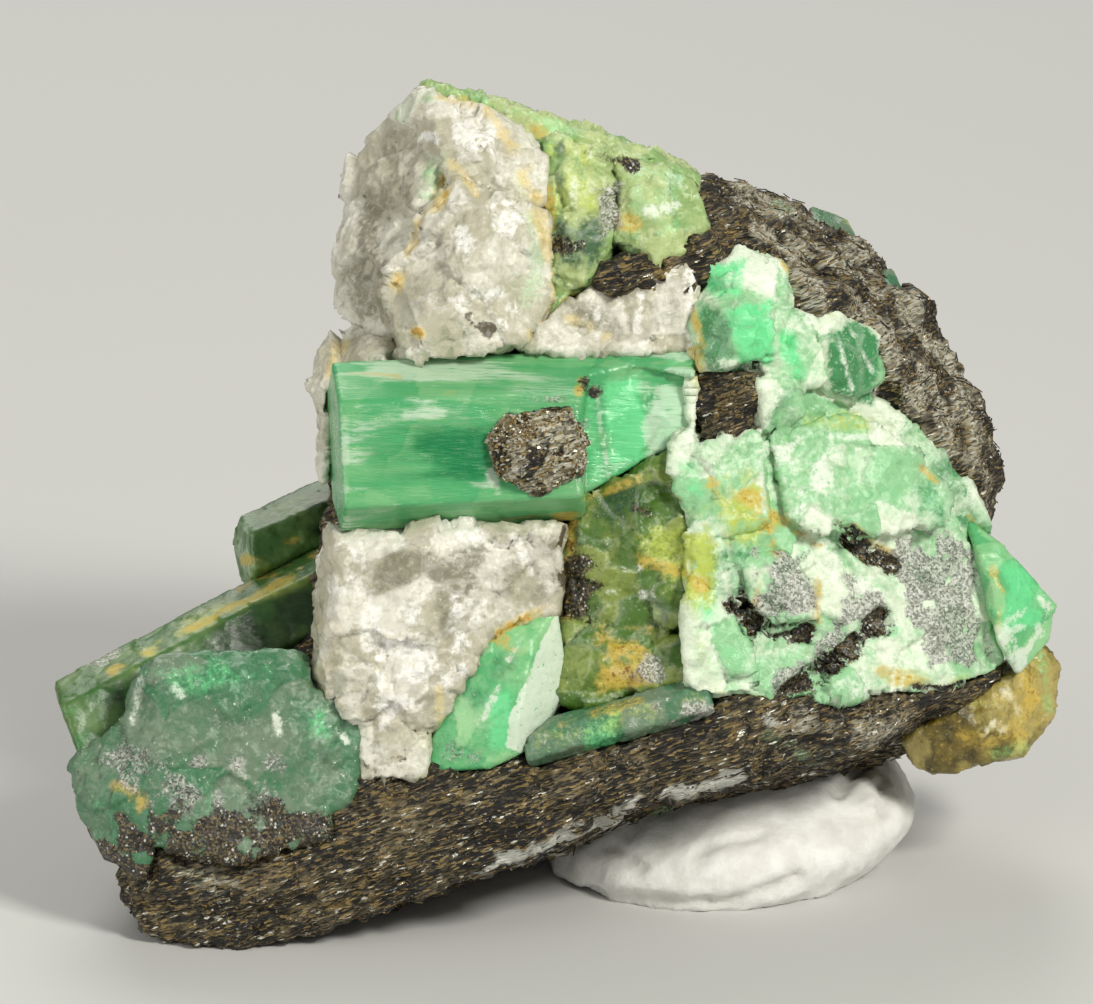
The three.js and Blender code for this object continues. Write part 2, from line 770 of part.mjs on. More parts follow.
// Schist: the dark rock that everything else sits in
function schist() {
  const leftFoot = [
    [-33.6, 2.2, 0.0],
    [-30.2, -0.6, 0.0],
    [-25.0, -0.4, 0.4],
    [-17.2, 2.7, 1.4],
    [-9.2, 4.8, 2.0],
    [-2.8, 7.2, 2.2],
    [3.8, 10.4, 2.0],
    [8.6, 13.4, 1.6],
    [-36.4, 9.0, -0.2],
    [-34.0, 7.0, 1.6],
    [-18.0, 8.0, 3.2],
    [-16.0, 13.6, 2.0],
    [-9.6, 14.0, 2.4],
    [-2.0, 15.2, 2.4],
    [8.0, 16.6, 2.0],
    [-24.0, 3.6, 3.4],
    [-12.0, 9.6, 3.6],
    [0.0, 11.8, 3.4],
    [-32.0, 7.6, -20.0],
    [-10.0, 8.0, -22.0],
    [6.0, 10.4, -22.0],
    [-33.0, 18.0, -18.0],
    [8.0, 18.0, -20.0],
  ];
  const rightFoot = [
    [3.4, 10.6, 1.8],
    [8.4, 13.6, 1.6],
    [14.8, 14.8, 1.0],
    [23.6, 16.4, -1.0],
    [30.0, 18.8, -4.6],
    [35.6, 21.2, -8.0],
    [6.0, 16.4, 2.2],
    [13.2, 16.6, 2.4],
    [16.6, 19.4, 2.2],
    [24.0, 20.6, -0.4],
    [35.4, 22.6, -7.4],
    [12.0, 24.0, -8.0],
    [32.0, 26.0, -12.0],
    [6.0, 10.2, -15.0],
    [14.0, 11.6, -15.0],
    [20.0, 12.8, -17.0],
    [24.0, 14.6, -22.0],
    [34.0, 18.0, -20.0],
  ];
  const body = [
    [-14.0, 46.0, -8.0],
    [-12.0, 60.0, -10.0],
    [0.0, 62.0, -12.0],
    [11.0, 61.0, -8.0],
    [18.0, 59.2, -15.0],
    [24.6, 54.2, -17.0],
    [34.6, 41.6, -13.6],
    [35.2, 39.4, -13.0],
    [34.4, 34.0, -10.0],
    [34.0, 24.0, -10.0],
    [10.0, 18.0, -4.0],
    [-17.0, 30.0, -9.0],
    [-20.0, 22.0, -8.0],
    [-20.0, 16.0, -6.0],
    [-10.0, 56.0, -24.0],
    [-18.0, 36.0, -26.0],
    [-16.0, 16.0, -26.0],
    [10.0, 56.0, -30.0],
    [12.0, 20.0, -32.0],
    [28.0, 47.0, -29.0],
    [32.0, 26.0, -28.0],
    [-8.0, 44.0, -3.0],
    [6.0, 46.0, -3.0],
    [6.0, 24.0, -3.0],
    [-8.0, 24.0, -3.0],
  ];
  const upperLedge = [
    [-6.0, 51.0, -27.0],
    [13.0, 53.0, -31.5],
    [25.0, 46.0, -32.0],
    [21.0, 38.0, -34.0],
    [-1.0, 40.0, -32.0],
    [-11.0, 46.0, -28.0],
    [5.0, 46.0, -15.0],
  ];
  const lowerLedge = [
    [-14.0, 31.0, -28.5],
    [5.0, 34.0, -33.0],
    [17.0, 29.0, -34.5],
    [16.0, 20.0, -34.0],
    [-5.0, 17.0, -30.5],
    [-15.0, 20.0, -28.0],
    [2.0, 24.0, -15.0],
  ];
  const shoulder = [
    [10.8, 61.3, -4.0],
    [13.2, 60.4, -7.5],
    [18.0, 59.6, -13.5],
    [13.2, 56.4, -1.4],
    [12.4, 54.8, -1.0],
    [19.8, 53.2, -2.2],
    [25.6, 49.4, -4.0],
    [28.2, 44.0, -5.0],
    [31.4, 39.8, -7.4],
    [34.4, 36.8, -9.4],
    [34.6, 33.6, -9.6],
    [35.4, 39.6, -12.0],
    [34.4, 42.0, -12.4],
    [31.6, 46.4, -12.6],
    [28.8, 51.2, -12.8],
    [27.0, 53.2, -13.0],
    [14.0, 58.0, -20.0],
    [32.0, 42.0, -22.0],
    [26.0, 51.0, -22.0],
  ];
  const window = [
    [11.2, 46.8, 0.6],
    [16.2, 46.4, 0.8],
    [16.4, 40.8, 1.4],
    [14.0, 39.6, 2.0],
    [11.4, 39.8, 1.6],
    [14.0, 43.0, 2.0],
    [10.0, 47.0, -15.0],
    [16.0, 46.0, -15.0],
    [16.0, 40.0, -15.0],
    [10.0, 40.0, -15.0],
  ];
  const band = [
    [3.8, 54.2, 0.6],
    [8.0, 55.0, 0.4],
    [12.6, 56.6, -0.2],
    [13.4, 54.0, 0.0],
    [10.8, 52.8, 0.4],
    [5.4, 52.6, 0.8],
    [2.6, 52.4, 0.8],
    [6.0, 53.6, -14.0],
    [12.0, 55.0, -14.0],
  ];
  const rocks = [leftFoot, rightFoot, body, shoulder, window, band, upperLedge, lowerLedge];
  return joined(...rocks.map((points) => lump(points, SCHIST_GRAIN)));
}

// Putty: a ball of white putty pressed out under the right side, higher on its right
const PUTTY_MIDDLE = { x: 14.4, y: 20.8 };
const PUTTY_RADII = { x: 15.6, y: 13.6, z: 5.8 };
const PUTTY_RISE = THREE.MathUtils.degToRad(7);
const PUTTY_TURN = THREE.MathUtils.degToRad(20);
const PUTTY_LIFT = 2.6;
const GROUND_DEPTH = 20;

function ground() {
  const slab = new THREE.BoxGeometry(4 * WIDTH, 4 * WIDTH, GROUND_DEPTH);
  slab.translate(0, 0, -GROUND_DEPTH / 2);
  return solidOf(welded(slab));
}

function putty() {
  const ball = welded(new THREE.SphereGeometry(1, 20, 12));
  ball.scale(PUTTY_RADII.x, PUTTY_RADII.y, PUTTY_RADII.z);
  ball.rotateY(-PUTTY_RISE);
  ball.rotateZ(PUTTY_TURN);
  ball.translate(PUTTY_MIDDLE.x, PUTTY_MIDDLE.y, PUTTY_LIFT);
  return solidOf(ball);
}

// Colours and finish of each rock
const beryl = (colour) => new THREE.MeshStandardMaterial({ color: colour, roughness: 0.3 });
const quartzStone = new THREE.MeshStandardMaterial({ color: 0xd9d6cc, roughness: 0.35 });
const schistStone = new THREE.MeshStandardMaterial({ color: 0x4a453c, roughness: 0.6 });
const rustStone = new THREE.MeshStandardMaterial({ color: 0x9c7c2e, roughness: 0.7 });
const puttyWhite = new THREE.MeshStandardMaterial({ color: 0xe8e6e0, roughness: 0.8 });

// Each piece is cut by the pieces before it, so the crystals stay whole and the schist takes their sockets.
const PIECES = [
  ["emerald_main_prism", mainPrism, beryl(0x35a066)],
  ["mica_scab", micaScab, schistStone],
  ["emerald_long_prism", longPrism, beryl(0x2c6b3c)],
  ["emerald_short_prism", shortPrism, beryl(0x5d9a6a)],
  ["emerald_stub", stub, beryl(0x4a8f68)],
  ["emerald_wedge", wedge, beryl(0x4aa56c)],
  ["emerald_strip", strip, beryl(0x4f9468)],
  ["emerald_tip", tip, beryl(0x45b878)],
  ["emerald_broken_mass", brokenMass, beryl(0x9fd3ac)],
  ["emerald_recess", recess, beryl(0x47704a)],
  ["emerald_cap", cap, beryl(0x8dba74)],
  ["emerald_upper_knob", upperKnob, beryl(0x6f947a)],
  ["emerald_lower_knob", lowerKnob, beryl(0x6f947a)],
  ["quartz_crown", quartzCrown, quartzStone],
  ["quartz_block", quartzBlock, quartzStone],
  ["quartz_seam", quartzSeam, quartzStone],
  ["rusty_lump", rustyLump, rustStone],
  ["schist", schist, schistStone],
  ["putty", putty, puttyWhite],
];

function specimen() {
  const group = new THREE.Group();
  let taken = ground();
  for (const [name, make, material] of PIECES) {
    const piece = largest(make().subtract(taken));
    taken = taken.add(socketOf(piece));
    const mesh = new THREE.Mesh(geometryOf(piece), material);
    mesh.name = name;
    group.add(mesh);
  }
  return group;
}

// The origin is on the ground under the middle of the whole specimen.
const emeraldInMatrix = specimen();
const box = new THREE.Box3().setFromObject(emeraldInMatrix, true);
const middle = box.getCenter(new THREE.Vector3());
emeraldInMatrix.position.set(-middle.x, -middle.y, -box.min.z);

export default emeraldInMatrix;
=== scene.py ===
# %% [markdown]
# # Emerald in matrix
# This lesson dresses a hand specimen: hexagonal prisms and broken lumps of green beryl, milky
# quartz and glittering mica schist, propped up on a lump of white putty. The solids come from
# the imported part. Every piece below starts as a dense copy of one solid and stays in its place.

# %% Load the solids
import math
from itertools import product

import bpy
import numpy as np
from mathutils import Matrix, Vector
from mathutils.bvhtree import BVHTree


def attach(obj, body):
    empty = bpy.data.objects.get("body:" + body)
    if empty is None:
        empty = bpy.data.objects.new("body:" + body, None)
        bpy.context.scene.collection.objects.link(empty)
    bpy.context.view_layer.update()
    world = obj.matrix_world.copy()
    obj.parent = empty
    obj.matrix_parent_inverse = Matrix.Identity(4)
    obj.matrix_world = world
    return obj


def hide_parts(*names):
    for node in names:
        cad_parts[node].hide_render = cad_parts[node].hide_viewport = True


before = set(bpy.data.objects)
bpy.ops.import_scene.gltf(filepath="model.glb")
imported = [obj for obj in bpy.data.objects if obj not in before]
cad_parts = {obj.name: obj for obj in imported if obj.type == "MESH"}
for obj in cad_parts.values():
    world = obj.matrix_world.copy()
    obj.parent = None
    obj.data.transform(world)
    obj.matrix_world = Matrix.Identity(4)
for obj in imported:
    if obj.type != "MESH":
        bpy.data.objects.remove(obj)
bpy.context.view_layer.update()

print("solids:", ", ".join(sorted(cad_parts)))

# %% [markdown]
# ## The camera
# The photo looks down on the stone at 18 degrees through a long lens, so lines hardly close up
# with distance. Working in millimetres from the toe, where the stone touches the floor, keeps the
# numbers readable: one photo pixel is 0.08 mm there. The same numbers place marks later on.

# %% Camera
MM = 0.001
PHOTO_WIDTH = 1093
PIXEL = 0.08
TOE_PIXEL = np.array((555.0, 945.0))
TOE = np.array((-0.165, -22.177, 0.0))
LEAN = math.radians(18)
EYE_DISTANCE = 600.0
AIM = np.array((-0.7, 35.4))
RIGHT = np.array((1.0, 0.0, 0.0))
UP = np.array((0.0, math.sin(LEAN), math.cos(LEAN)))
NEAR = np.array((0.0, -math.cos(LEAN), math.sin(LEAN)))
SENSOR = 36.0

eye = TOE + RIGHT * AIM[0] + UP * AIM[1] + NEAR * EYE_DISTANCE
lens = bpy.data.cameras.new("long_lens")
lens.sensor_width = SENSOR
lens.lens = SENSOR * EYE_DISTANCE / (PHOTO_WIDTH * PIXEL)
lens.clip_start = 0.01
lens.clip_end = 20
camera = bpy.data.objects.new("camera", lens)
turn = np.stack((RIGHT, UP, NEAR), axis=1)
camera.matrix_world = Matrix.Translation(Vector(eye * MM)) @ Matrix(turn.tolist()).to_4x4()
bpy.context.scene.collection.objects.link(camera)
bpy.context.scene.camera = camera


def photo_pixels(points):
    """Where points, in mm, show in the photo's 1093 by 1004 frame."""
    local = points - TOE
    spread = (EYE_DISTANCE / (EYE_DISTANCE - local @ NEAR))[:, None]
    face = np.stack((local @ RIGHT, local @ UP), axis=1)
    shown = AIM + (face - AIM) * spread
    return TOE_PIXEL + shown * np.array((1.0, -1.0)) / PIXEL


print("lens", round(lens.lens), "mm, eye at", np.round(eye, 1), "mm")

# %% [markdown]
# ## Floor and light
# The stone stands on a plain pale floor. One broad lamp at the upper right gives every broken
# face its own brightness, and a weaker lamp and a pale sky keep the left side readable. Broad
# lamps suit minerals: small ones leave hard white dots on each crystal.

# %% Floor and light
FLOOR_HALF = 4.0
LAMP_TARGET = Vector((0, 0, 0.03))
LAMP_TINT = (1.0, 0.98, 0.9)
floor_mesh = bpy.data.meshes.new("floor")
floor_corners = [(x * FLOOR_HALF, y * FLOOR_HALF, 0) for x, y in ((-1, -1), (1, -1), (1, 1), (-1, 1))]
floor_mesh.from_pydata(floor_corners, [], [(0, 1, 2, 3)])
floor = bpy.data.objects.new("floor", floor_mesh)
bpy.context.scene.collection.objects.link(floor)


def lamp(name, place, size, watts):
    """A square lamp at a place in metres, turned to the middle of the stone."""
    light = bpy.data.lights.new(name, "AREA")
    light.size = size
    light.energy = watts
    light.color = LAMP_TINT
    holder = bpy.data.objects.new(name, light)
    holder.location = place
    holder.rotation_euler = (LAMP_TARGET - Vector(place)).to_track_quat("-Z", "Y").to_euler()
    bpy.context.scene.collection.objects.link(holder)


lamp("key_lamp", (0.36, -0.40, 0.48), 0.16, 3.9)
lamp("fill_lamp", (-0.55, -0.40, 0.25), 0.5, 2.0)
lamp("back_lamp", (-0.1, 0.5, 0.5), 0.4, 1.8)
sky = bpy.data.worlds.new("sky")
bpy.context.scene.world = sky
sky.use_nodes = True
sky.node_tree.nodes["Background"].inputs["Color"].default_value = (1, 1, 1, 1)
sky.node_tree.nodes["Background"].inputs["Strength"].default_value = 0.27
bpy.context.scene.view_settings.view_transform = "Standard"

# %% [markdown]
# ## Shader sums
# A finish is a long sum of masks and colours. Wiring it by hand hides the sum, so this class
# wraps a socket and lets Python's own operators add the Math nodes. Colours must not go through
# Math nodes, which turn them grey: `tint` mixes them, and `node` makes any other kind of node.


# %% A socket that Python can do sums with
class Wire:
    def __init__(self, tree, socket=None):
        self.tree = tree
        self.socket = socket

    def node(self, kind, settings={}, inputs={}, out=0):
        made = self.tree.nodes.new("ShaderNode" + kind)
        for name, value in settings.items():
            setattr(made, name, value)
        for name, value in inputs.items():
            if isinstance(value, Wire):
                self.tree.links.new(value.socket, made.inputs[name])
            else:
                made.inputs[name].default_value = value
        return Wire(self.tree, made.outputs[out])

    def other(self, out):
        """Another output of the node that this wire comes from."""
        return Wire(self.tree, self.socket.node.outputs[out])

    def maths(self, operation, *values):
        return self.node("Math", {"operation": operation}, dict(enumerate(values)))

    def __add__(self, other):
        return self.maths("ADD", self, other)

    def __sub__(self, other):
        return self.maths("SUBTRACT", self, other)

    def __rsub__(self, other):
        return self.maths("SUBTRACT", other, self)

    def __mul__(self, other):
        return self.maths("MULTIPLY", self, other)

    __radd__ = __add__
    __rmul__ = __mul__

    def step(self, low, high):
        """0 below low, 1 above high and smooth between."""
        ends = {"Value": self, "From Min": low, "From Max": high}
        return self.node("MapRange", {"interpolation_type": "SMOOTHSTEP"}, ends)

    def tint(self, colour, other):
        """The first colour where this mask is 0, the other where it is 1."""
        ends = {"Factor": self, 6: colour, 7: other}
        return self.node("Mix", {"data_type": "RGBA"}, ends, out=2)


def srgb(red, green, blue):
    """A colour as seen on a screen, from 0 to 255, made linear for the shader."""
    return tuple((value / 255) ** 2.2 for value in (red, green, blue)) + (1.0,)


print("white is", srgb(255, 255, 255))

# %% [markdown]
# ## Noise for the surface
# Broken mineral has two kinds of roughness: soft waves, and flat facets that meet in edges. The
# shader could fake both with bump alone, but then the outline would stay smooth. Here both are
# worked out on the points themselves. The scatter is a hash of whole numbers, so every run
# gives the same stone.


# %% Noise for the surface
def scatter(cells, seed):
    """A repeatable number from 0 to 1 for each whole-number cell."""
    x, y, z = (cells[:, i].astype(np.uint64) for i in range(3))
    mixed = x * np.uint64(374761393) + y * np.uint64(668265263) + z * np.uint64(1440662683)
    mixed = (mixed + np.uint64(seed * 974711)) & np.uint64(0xFFFFFFFF)
    mixed = ((mixed ^ (mixed >> np.uint64(13))) * np.uint64(1274126177)) & np.uint64(0xFFFFFFFF)
    return ((mixed ^ (mixed >> np.uint64(16))) & np.uint64(0xFFFFFF)) / float(0xFFFFFF)


def waves(points, size, seed):
    """Soft noise from -1 to 1 whose lumps are about one size across."""
    place = points / size
    cells = np.floor(place).astype(np.int64)
    part = place - cells
    part = part * part * (3 - 2 * part)
    total = np.zeros(len(points))
    for corner in product((0, 1), repeat=3):
        weight = np.prod(np.where(corner, part, 1 - part), axis=1)
        total += weight * scatter(cells + corner, seed)
    return total * 2 - 1


def rough(points, size, seed, octaves=3):
    """Waves on waves, each half as big and half as high as the last."""
    return sum(waves(points, size / 2**i, seed + i) / 2**i for i in range(octaves))


EDGE_BEND = 0.25
EDGE_WIDTH = 0.12


def facets(points, size, seed):
    """Height, tone and edge of facets: each point takes the tilted plane of its nearest centre."""
    bend = np.stack([waves(points, size, seed + 20 + i) for i in range(3)], axis=1)
    place = points / size + EDGE_BEND * bend
    cells = np.floor(place).astype(np.int64)
    nearest = np.full(len(points), np.inf)
    second = np.full(len(points), np.inf)
    height = np.zeros(len(points))
    tone = np.zeros(len(points))
    for offset in product((-1, 0, 1), repeat=3):
        there = cells + offset
        centre = there + np.stack([scatter(there, seed + i) for i in range(3)], axis=1)
        gap = place - centre
        distance = np.sqrt((gap**2).sum(axis=1))
        closer = distance < nearest
        second = np.where(closer, nearest, np.minimum(second, distance))
        nearest = np.where(closer, distance, nearest)
        tilt = np.stack([scatter(there[closer], seed + 3 + i) for i in range(3)], axis=1) * 2 - 1
        height[closer] = (gap[closer] * tilt).sum(axis=1)
        tone[closer] = scatter(there[closer], seed + 6)
    return height, tone, 1 - np.clip((second - nearest) / EDGE_WIDTH, 0, 1)


sample = np.random.default_rng(1).uniform(-30, 30, (4000, 3))
print("waves reach", round(float(abs(waves(sample, 3, 1)).max()), 2))
print("facets reach", round(float(abs(facets(sample, 3, 1)[0]).max()), 2))

# %% [markdown]
# ## Dense skins
# A solid has large plain facets. Its skin is a copy cut into small even quads, fine enough to
# carry chips and grain. The skin is pushed out by half the seam between solids, so that
# crystals and rock touch as they do in the stone. Broken pieces go out twice as far, because they
# are grown into their neighbours. Nothing may sink below the floor.

# %% Dense skins
SEAM_HALF = 0.17
OVERLAP = 0.34


def points_of(piece):
    """The piece's points in mm."""
    flat = np.empty(len(piece.data.vertices) * 3, dtype=np.float32)
    piece.data.vertices.foreach_get("co", flat)
    return flat.reshape(-1, 3).astype(float) / MM


def normals_of(piece):
    flat = np.empty(len(piece.data.vertices) * 3, dtype=np.float32)
    piece.data.vertex_normals.foreach_get("vector", flat)
    return flat.reshape(-1, 3).astype(float)


def move_to(piece, points):
    """Puts the points at places in mm, none of them under the floor."""
    points[:, 2] = np.maximum(points[:, 2], 0)
    piece.data.vertices.foreach_set("co", (points * MM).astype(np.float32).ravel())
    piece.data.update()


def push_out(piece, heights):
    """Moves every point along its normal by its height in mm."""
    heights = np.broadcast_to(heights, len(piece.data.vertices))
    move_to(piece, points_of(piece) + normals_of(piece) * heights[:, None])


def surface_of(*nodes):
    """The solids' faces as a tree that answers which point of them is nearest, in metres."""
    corners, faces = [], []
    for node in nodes:
        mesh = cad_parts[node].data
        faces += [[len(corners) + i for i in face.vertices] for face in mesh.polygons]
        corners += [vertex.co.copy() for vertex in mesh.vertices]
    return BVHTree.FromPolygons(corners, faces)


def skin_of(node, voxel, flat_faces=False):
    """A dense copy of a solid. With flat faces its points go back onto the solid's own planes."""
    piece = bpy.data.objects.new(node + "_skin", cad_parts[node].data.copy())
    bpy.context.scene.collection.objects.link(piece)
    dense = piece.modifiers.new("dense", "REMESH")
    dense.mode = "VOXEL"
    dense.voxel_size = voxel * MM
    bpy.context.view_layer.update()
    mesh = bpy.data.meshes.new_from_object(piece.evaluated_get(bpy.context.evaluated_depsgraph_get()))
    piece.modifiers.clear()
    piece.data = mesh
    mesh.materials.clear()
    mesh.shade_smooth()
    if flat_faces:
        tree = surface_of(node)
        snapped = [tree.find_nearest(vertex.co)[0] for vertex in mesh.vertices]
        move_to(piece, np.array(snapped) / MM)
    push_out(piece, SEAM_HALF if flat_faces else OVERLAP)
    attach(piece, "root")
    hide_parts(node)
    return piece


print("seams closed by", SEAM_HALF, "mm on crystals and", OVERLAP, "mm on broken pieces")

# %% [markdown]
# ## Daubs
# Rust, frost and mica lie in patches that follow the stone's history, so noise alone can't place
# them. A daub is a line or a patch given by a few photo pixels. It marks the points that it
# covers on faces turned to the viewer, and the mark stays on those points from any side.


# %% Daubs
def line(half, strength, *corners):
    """A daub along a run of pixels, with its half width in pixels."""
    return False, half, strength, np.array(corners, dtype=float)


def patch(edge, strength, *corners):
    """A daub that fills an outline of pixels, with the softness of its edge in pixels."""
    return True, edge, strength, np.array(corners, dtype=float)


def off_run(seen, start, end):
    """How far pixels are from a straight run."""
    run = end - start
    along = np.clip((seen - start) @ run / max(run @ run, 1e-6), 0, 1)
    return np.linalg.norm(seen - start - along[:, None] * run, axis=1)


def inside(seen, corners):
    """Which pixels an outline encloses."""
    within = np.zeros(len(seen), dtype=bool)
    for (x0, y0), (x1, y1) in zip(corners, np.roll(corners, -1, axis=0)):
        crosses = (y0 > seen[:, 1]) != (y1 > seen[:, 1])
        rise = y1 - y0 if y1 != y0 else 1e-6
        within ^= crosses & (seen[:, 0] < x0 + (seen[:, 1] - y0) * (x1 - x0) / rise)
    return within


FACING_FROM = 0.3
FACING_BLEND = 0.4
BREAK_SIZE = 1.5
EDGE_BREAK = 0.3


def cover(piece, daubs, ragged=0.6, drawn=1.0):
    """How much the daubs cover each point, from 0 to 1. Ragged daubs are broken inside too.
    A drawn value under 1 pulls the breaks out along the prism that lies from left to right."""
    points = points_of(piece)
    seen = photo_pixels(points)
    facing = np.clip((normals_of(piece) @ NEAR + FACING_FROM) / FACING_BLEND, 0, 1)
    noise = rough(points * np.array((drawn, 1.0, 1.0)), BREAK_SIZE, 71, 4)
    broken = np.clip(1 - 0.35 * ragged + 1.3 * ragged * noise, 0, 1)
    mark = np.zeros(len(points))
    for filled, width, strength, corners in daubs:
        ring = np.vstack((corners, corners[:1])) if filled else corners
        away = np.min([off_run(seen, *run) for run in zip(ring[:-1], ring[1:])], axis=0)
        if filled:
            away = np.where(inside(seen, corners), -away, away)
            shown = 0.5 - away / (2 * width) + EDGE_BREAK * noise
        else:
            near = np.clip(2 - away / width, 0, 1)
            shown = 1.2 * (1 - away / (2 * width)) + EDGE_BREAK * noise * near
        mark = np.maximum(mark, strength * broken * np.clip(shown, 0, 1) * facing)
    return mark


def keep_mark(piece, name, values):
    """Stores one number per point under a name that a finish can read."""
    layer = piece.data.attributes.new(name, "FLOAT", "POINT")
    layer.data.foreach_set("value", np.clip(values, 0, 1).astype(np.float32))


print("a daub 10 pixels wide is", 10 * PIXEL, "mm wide")

# %% [markdown]
# ## Finishes shared by the minerals
# Each finish starts from the place on the stone in millimetres, so that grain has its true size.
# A mark gets its fine ragged edge here, where noise finer than the mesh can break it up. Broken
# mineral glints because its small grains face many ways: `leaned` tilts the surface grain by grain.


# %% Shared parts of a finish
def new_finish(name):
    """A material's bench for new nodes, its shader, and the place in mm."""
    material = bpy.data.materials.new(name)
    material.use_nodes = True
    bench = Wire(material.node_tree)
    place = bench.node("TexCoord", out="Object")
    place = bench.node("VectorMath", {"operation": "SCALE"}, {0: place, "Scale": 1 / MM})
    return material, bench, material.node_tree.nodes["Principled BSDF"], place


def stretched(place, factors):
    return place.node("VectorMath", {"operation": "MULTIPLY"}, {0: place, 1: factors})


def cloud(place, scale, detail=3.0, roughness=0.6):
    inputs = {"Vector": place, "Scale": scale, "Detail": detail, "Roughness": roughness}
    return place.node("TexNoise", {}, inputs)


def grains(place, scale):
    """Three random numbers for each grain, and the distance from its middle."""
    middle = place.node("TexVoronoi", {}, {"Vector": place, "Scale": scale})
    parts = place.node("SeparateColor", {}, {0: middle.other("Color")})
    return parts, parts.other(1), parts.other(2), middle


def mark(bench, name):
    return bench.node("Attribute", {"attribute_name": name}, out="Fac")


def worn(bench, name, fine, low=0.15, high=0.85):
    """A mark whose edge and inside are broken up by fine noise."""
    return (mark(bench, name) * (fine * 2.6 + 1)).step(low, high)


def feed(shader, **wires):
    """Links wires to the shader's sockets, written with _ for a space."""
    for name, wire in wires.items():
        wire.tree.links.new(wire.socket, shader.inputs[name.replace("_", " ")])


def leaned(place, scale, tilt):
    """The surface's direction, leaned at random from grain to grain, so that each one glints its own way."""
    colour = place.node("TexVoronoi", {}, {"Vector": place, "Scale": scale}, out="Color")
    lean = place.node("VectorMath", {"operation": "SUBTRACT"}, {0: colour, 1: (0.5, 0.5, 0.5)})
    lean = place.node("VectorMath", {"operation": "SCALE"}, {0: lean, "Scale": tilt})
    normal = place.node("NewGeometry", out="Normal")
    lean = place.node("VectorMath", {"operation": "ADD"}, {0: lean, 1: normal})
    return place.node("VectorMath", {"operation": "NORMALIZE"}, {0: lean})


def bump(height, depth, normal=None):
    inputs = {"Height": height, "Distance": depth * MM, "Strength": 1.0}
    if normal:
        inputs["Normal"] = normal
    return height.node("Bump", {}, inputs)


print("grain is worked out in steps of", MM, "m")

# %% [markdown]
# ## Beryl
# Emerald is green beryl. Inside a prism it is clear and deep, on frosted faces it is pale, and where it
# broke it is a mosaic of small glassy facets. One finish serves all of it: marks on the points say where
# it is deep, bright, yellow, frosted, rusty or crusted with mica. A little transmission lets light into
# the clearest pieces; the others are too clouded to see through.

# %% Beryl finish
BRIGHT_MINT = srgb(112, 226, 150)
YELLOW_GREEN = srgb(186, 202, 92)
FROST_WHITE = srgb(236, 244, 228)
RUST_YELLOW = srgb(206, 176, 74)
RUST_BROWN = srgb(122, 78, 26)
MICA_BLACK = srgb(38, 35, 30)
MICA_GOLD = srgb(128, 112, 74)
MICA_GREY = srgb(84, 84, 80)
MICA_SILVER = srgb(206, 206, 198)
BERYL_GRAINS = 1.15
CRUST_GRAINS = 6.0


def beryl_finish(
    name, green, pale, deep, grain_stretch=(1, 1, 1), clear=0.0, specks=0.5, contrast=1.0, veil=0.8,
    tilt=0.0, gloss=0.2,
):
    """Three greens, then how drawn out, clear, speckled, uneven, veiled, tilted and rough it is."""
    material, bench, shader, place = new_finish(name)
    drawn = stretched(place, grain_stretch)
    fog = cloud(drawn, 0.42)
    grain = cloud(drawn, 2.4, 4.0, 0.65)
    fine = (grain - 0.5) * contrast
    sugar = grain - 0.5
    tone = mark(bench, "tone")
    body = (fog + (tone - 0.5) * 0.6 * contrast + fine * 0.6).step(0.28, 0.74).tint(green, pale)
    body = worn(bench, "mint", fine).tint(body, BRIGHT_MINT)
    body = worn(bench, "lime", fine).tint(body, YELLOW_GREEN)
    body = worn(bench, "deep", fine).tint(body, deep)
    frosted = worn(bench, "frost", sugar * 1.4, 0.1, 0.75) + worn(bench, "edge", sugar * 1.5) * 0.14
    body = (frosted * veil).tint(body, FROST_WHITE)
    body = (grain.step(0.64, 0.74) * specks).tint(body, FROST_WHITE)
    rusty = mark(bench, "rust") * (sugar * 3 + 1)
    body = (rusty.step(0.1, 0.75) * 0.8).tint(body, RUST_YELLOW)
    body = (rusty.step(0.75, 1.2) * 0.85).tint(body, RUST_BROWN)
    flake, shine, dark, _ = grains(place, CRUST_GRAINS)
    grey = (mark(bench, "silver") * (sugar * 2 + 1) + (dark - 0.5) * 0.3).step(0.25, 0.65)
    body = (grey * 0.85).tint(body, flake.step(0.0, 1.0).tint(MICA_GREY, MICA_SILVER))
    crusted = (mark(bench, "mica") * (sugar * 2 + 1) + (dark - 0.5) * 0.3).step(0.25, 0.6)
    crust = shine.step(0.93, 0.99).tint(flake.step(0.5, 1.1).tint(MICA_BLACK, MICA_GOLD), MICA_SILVER)
    body = crusted.tint(body, crust)
    height = grain + (crusted + grey) * flake * 0.5
    feed(
        shader,
        Base_Color=body,
        Roughness=frosted * 0.22 + rusty.step(0.3, 0.8) * 0.3 + fine * 0.3 + gloss,
        Normal=bump(height, 0.13 * contrast, leaned(place, BERYL_GRAINS, tilt)),
    )
    shader.inputs["IOR"].default_value = 1.58
    shader.inputs["Transmission Weight"].default_value = clear
    return material


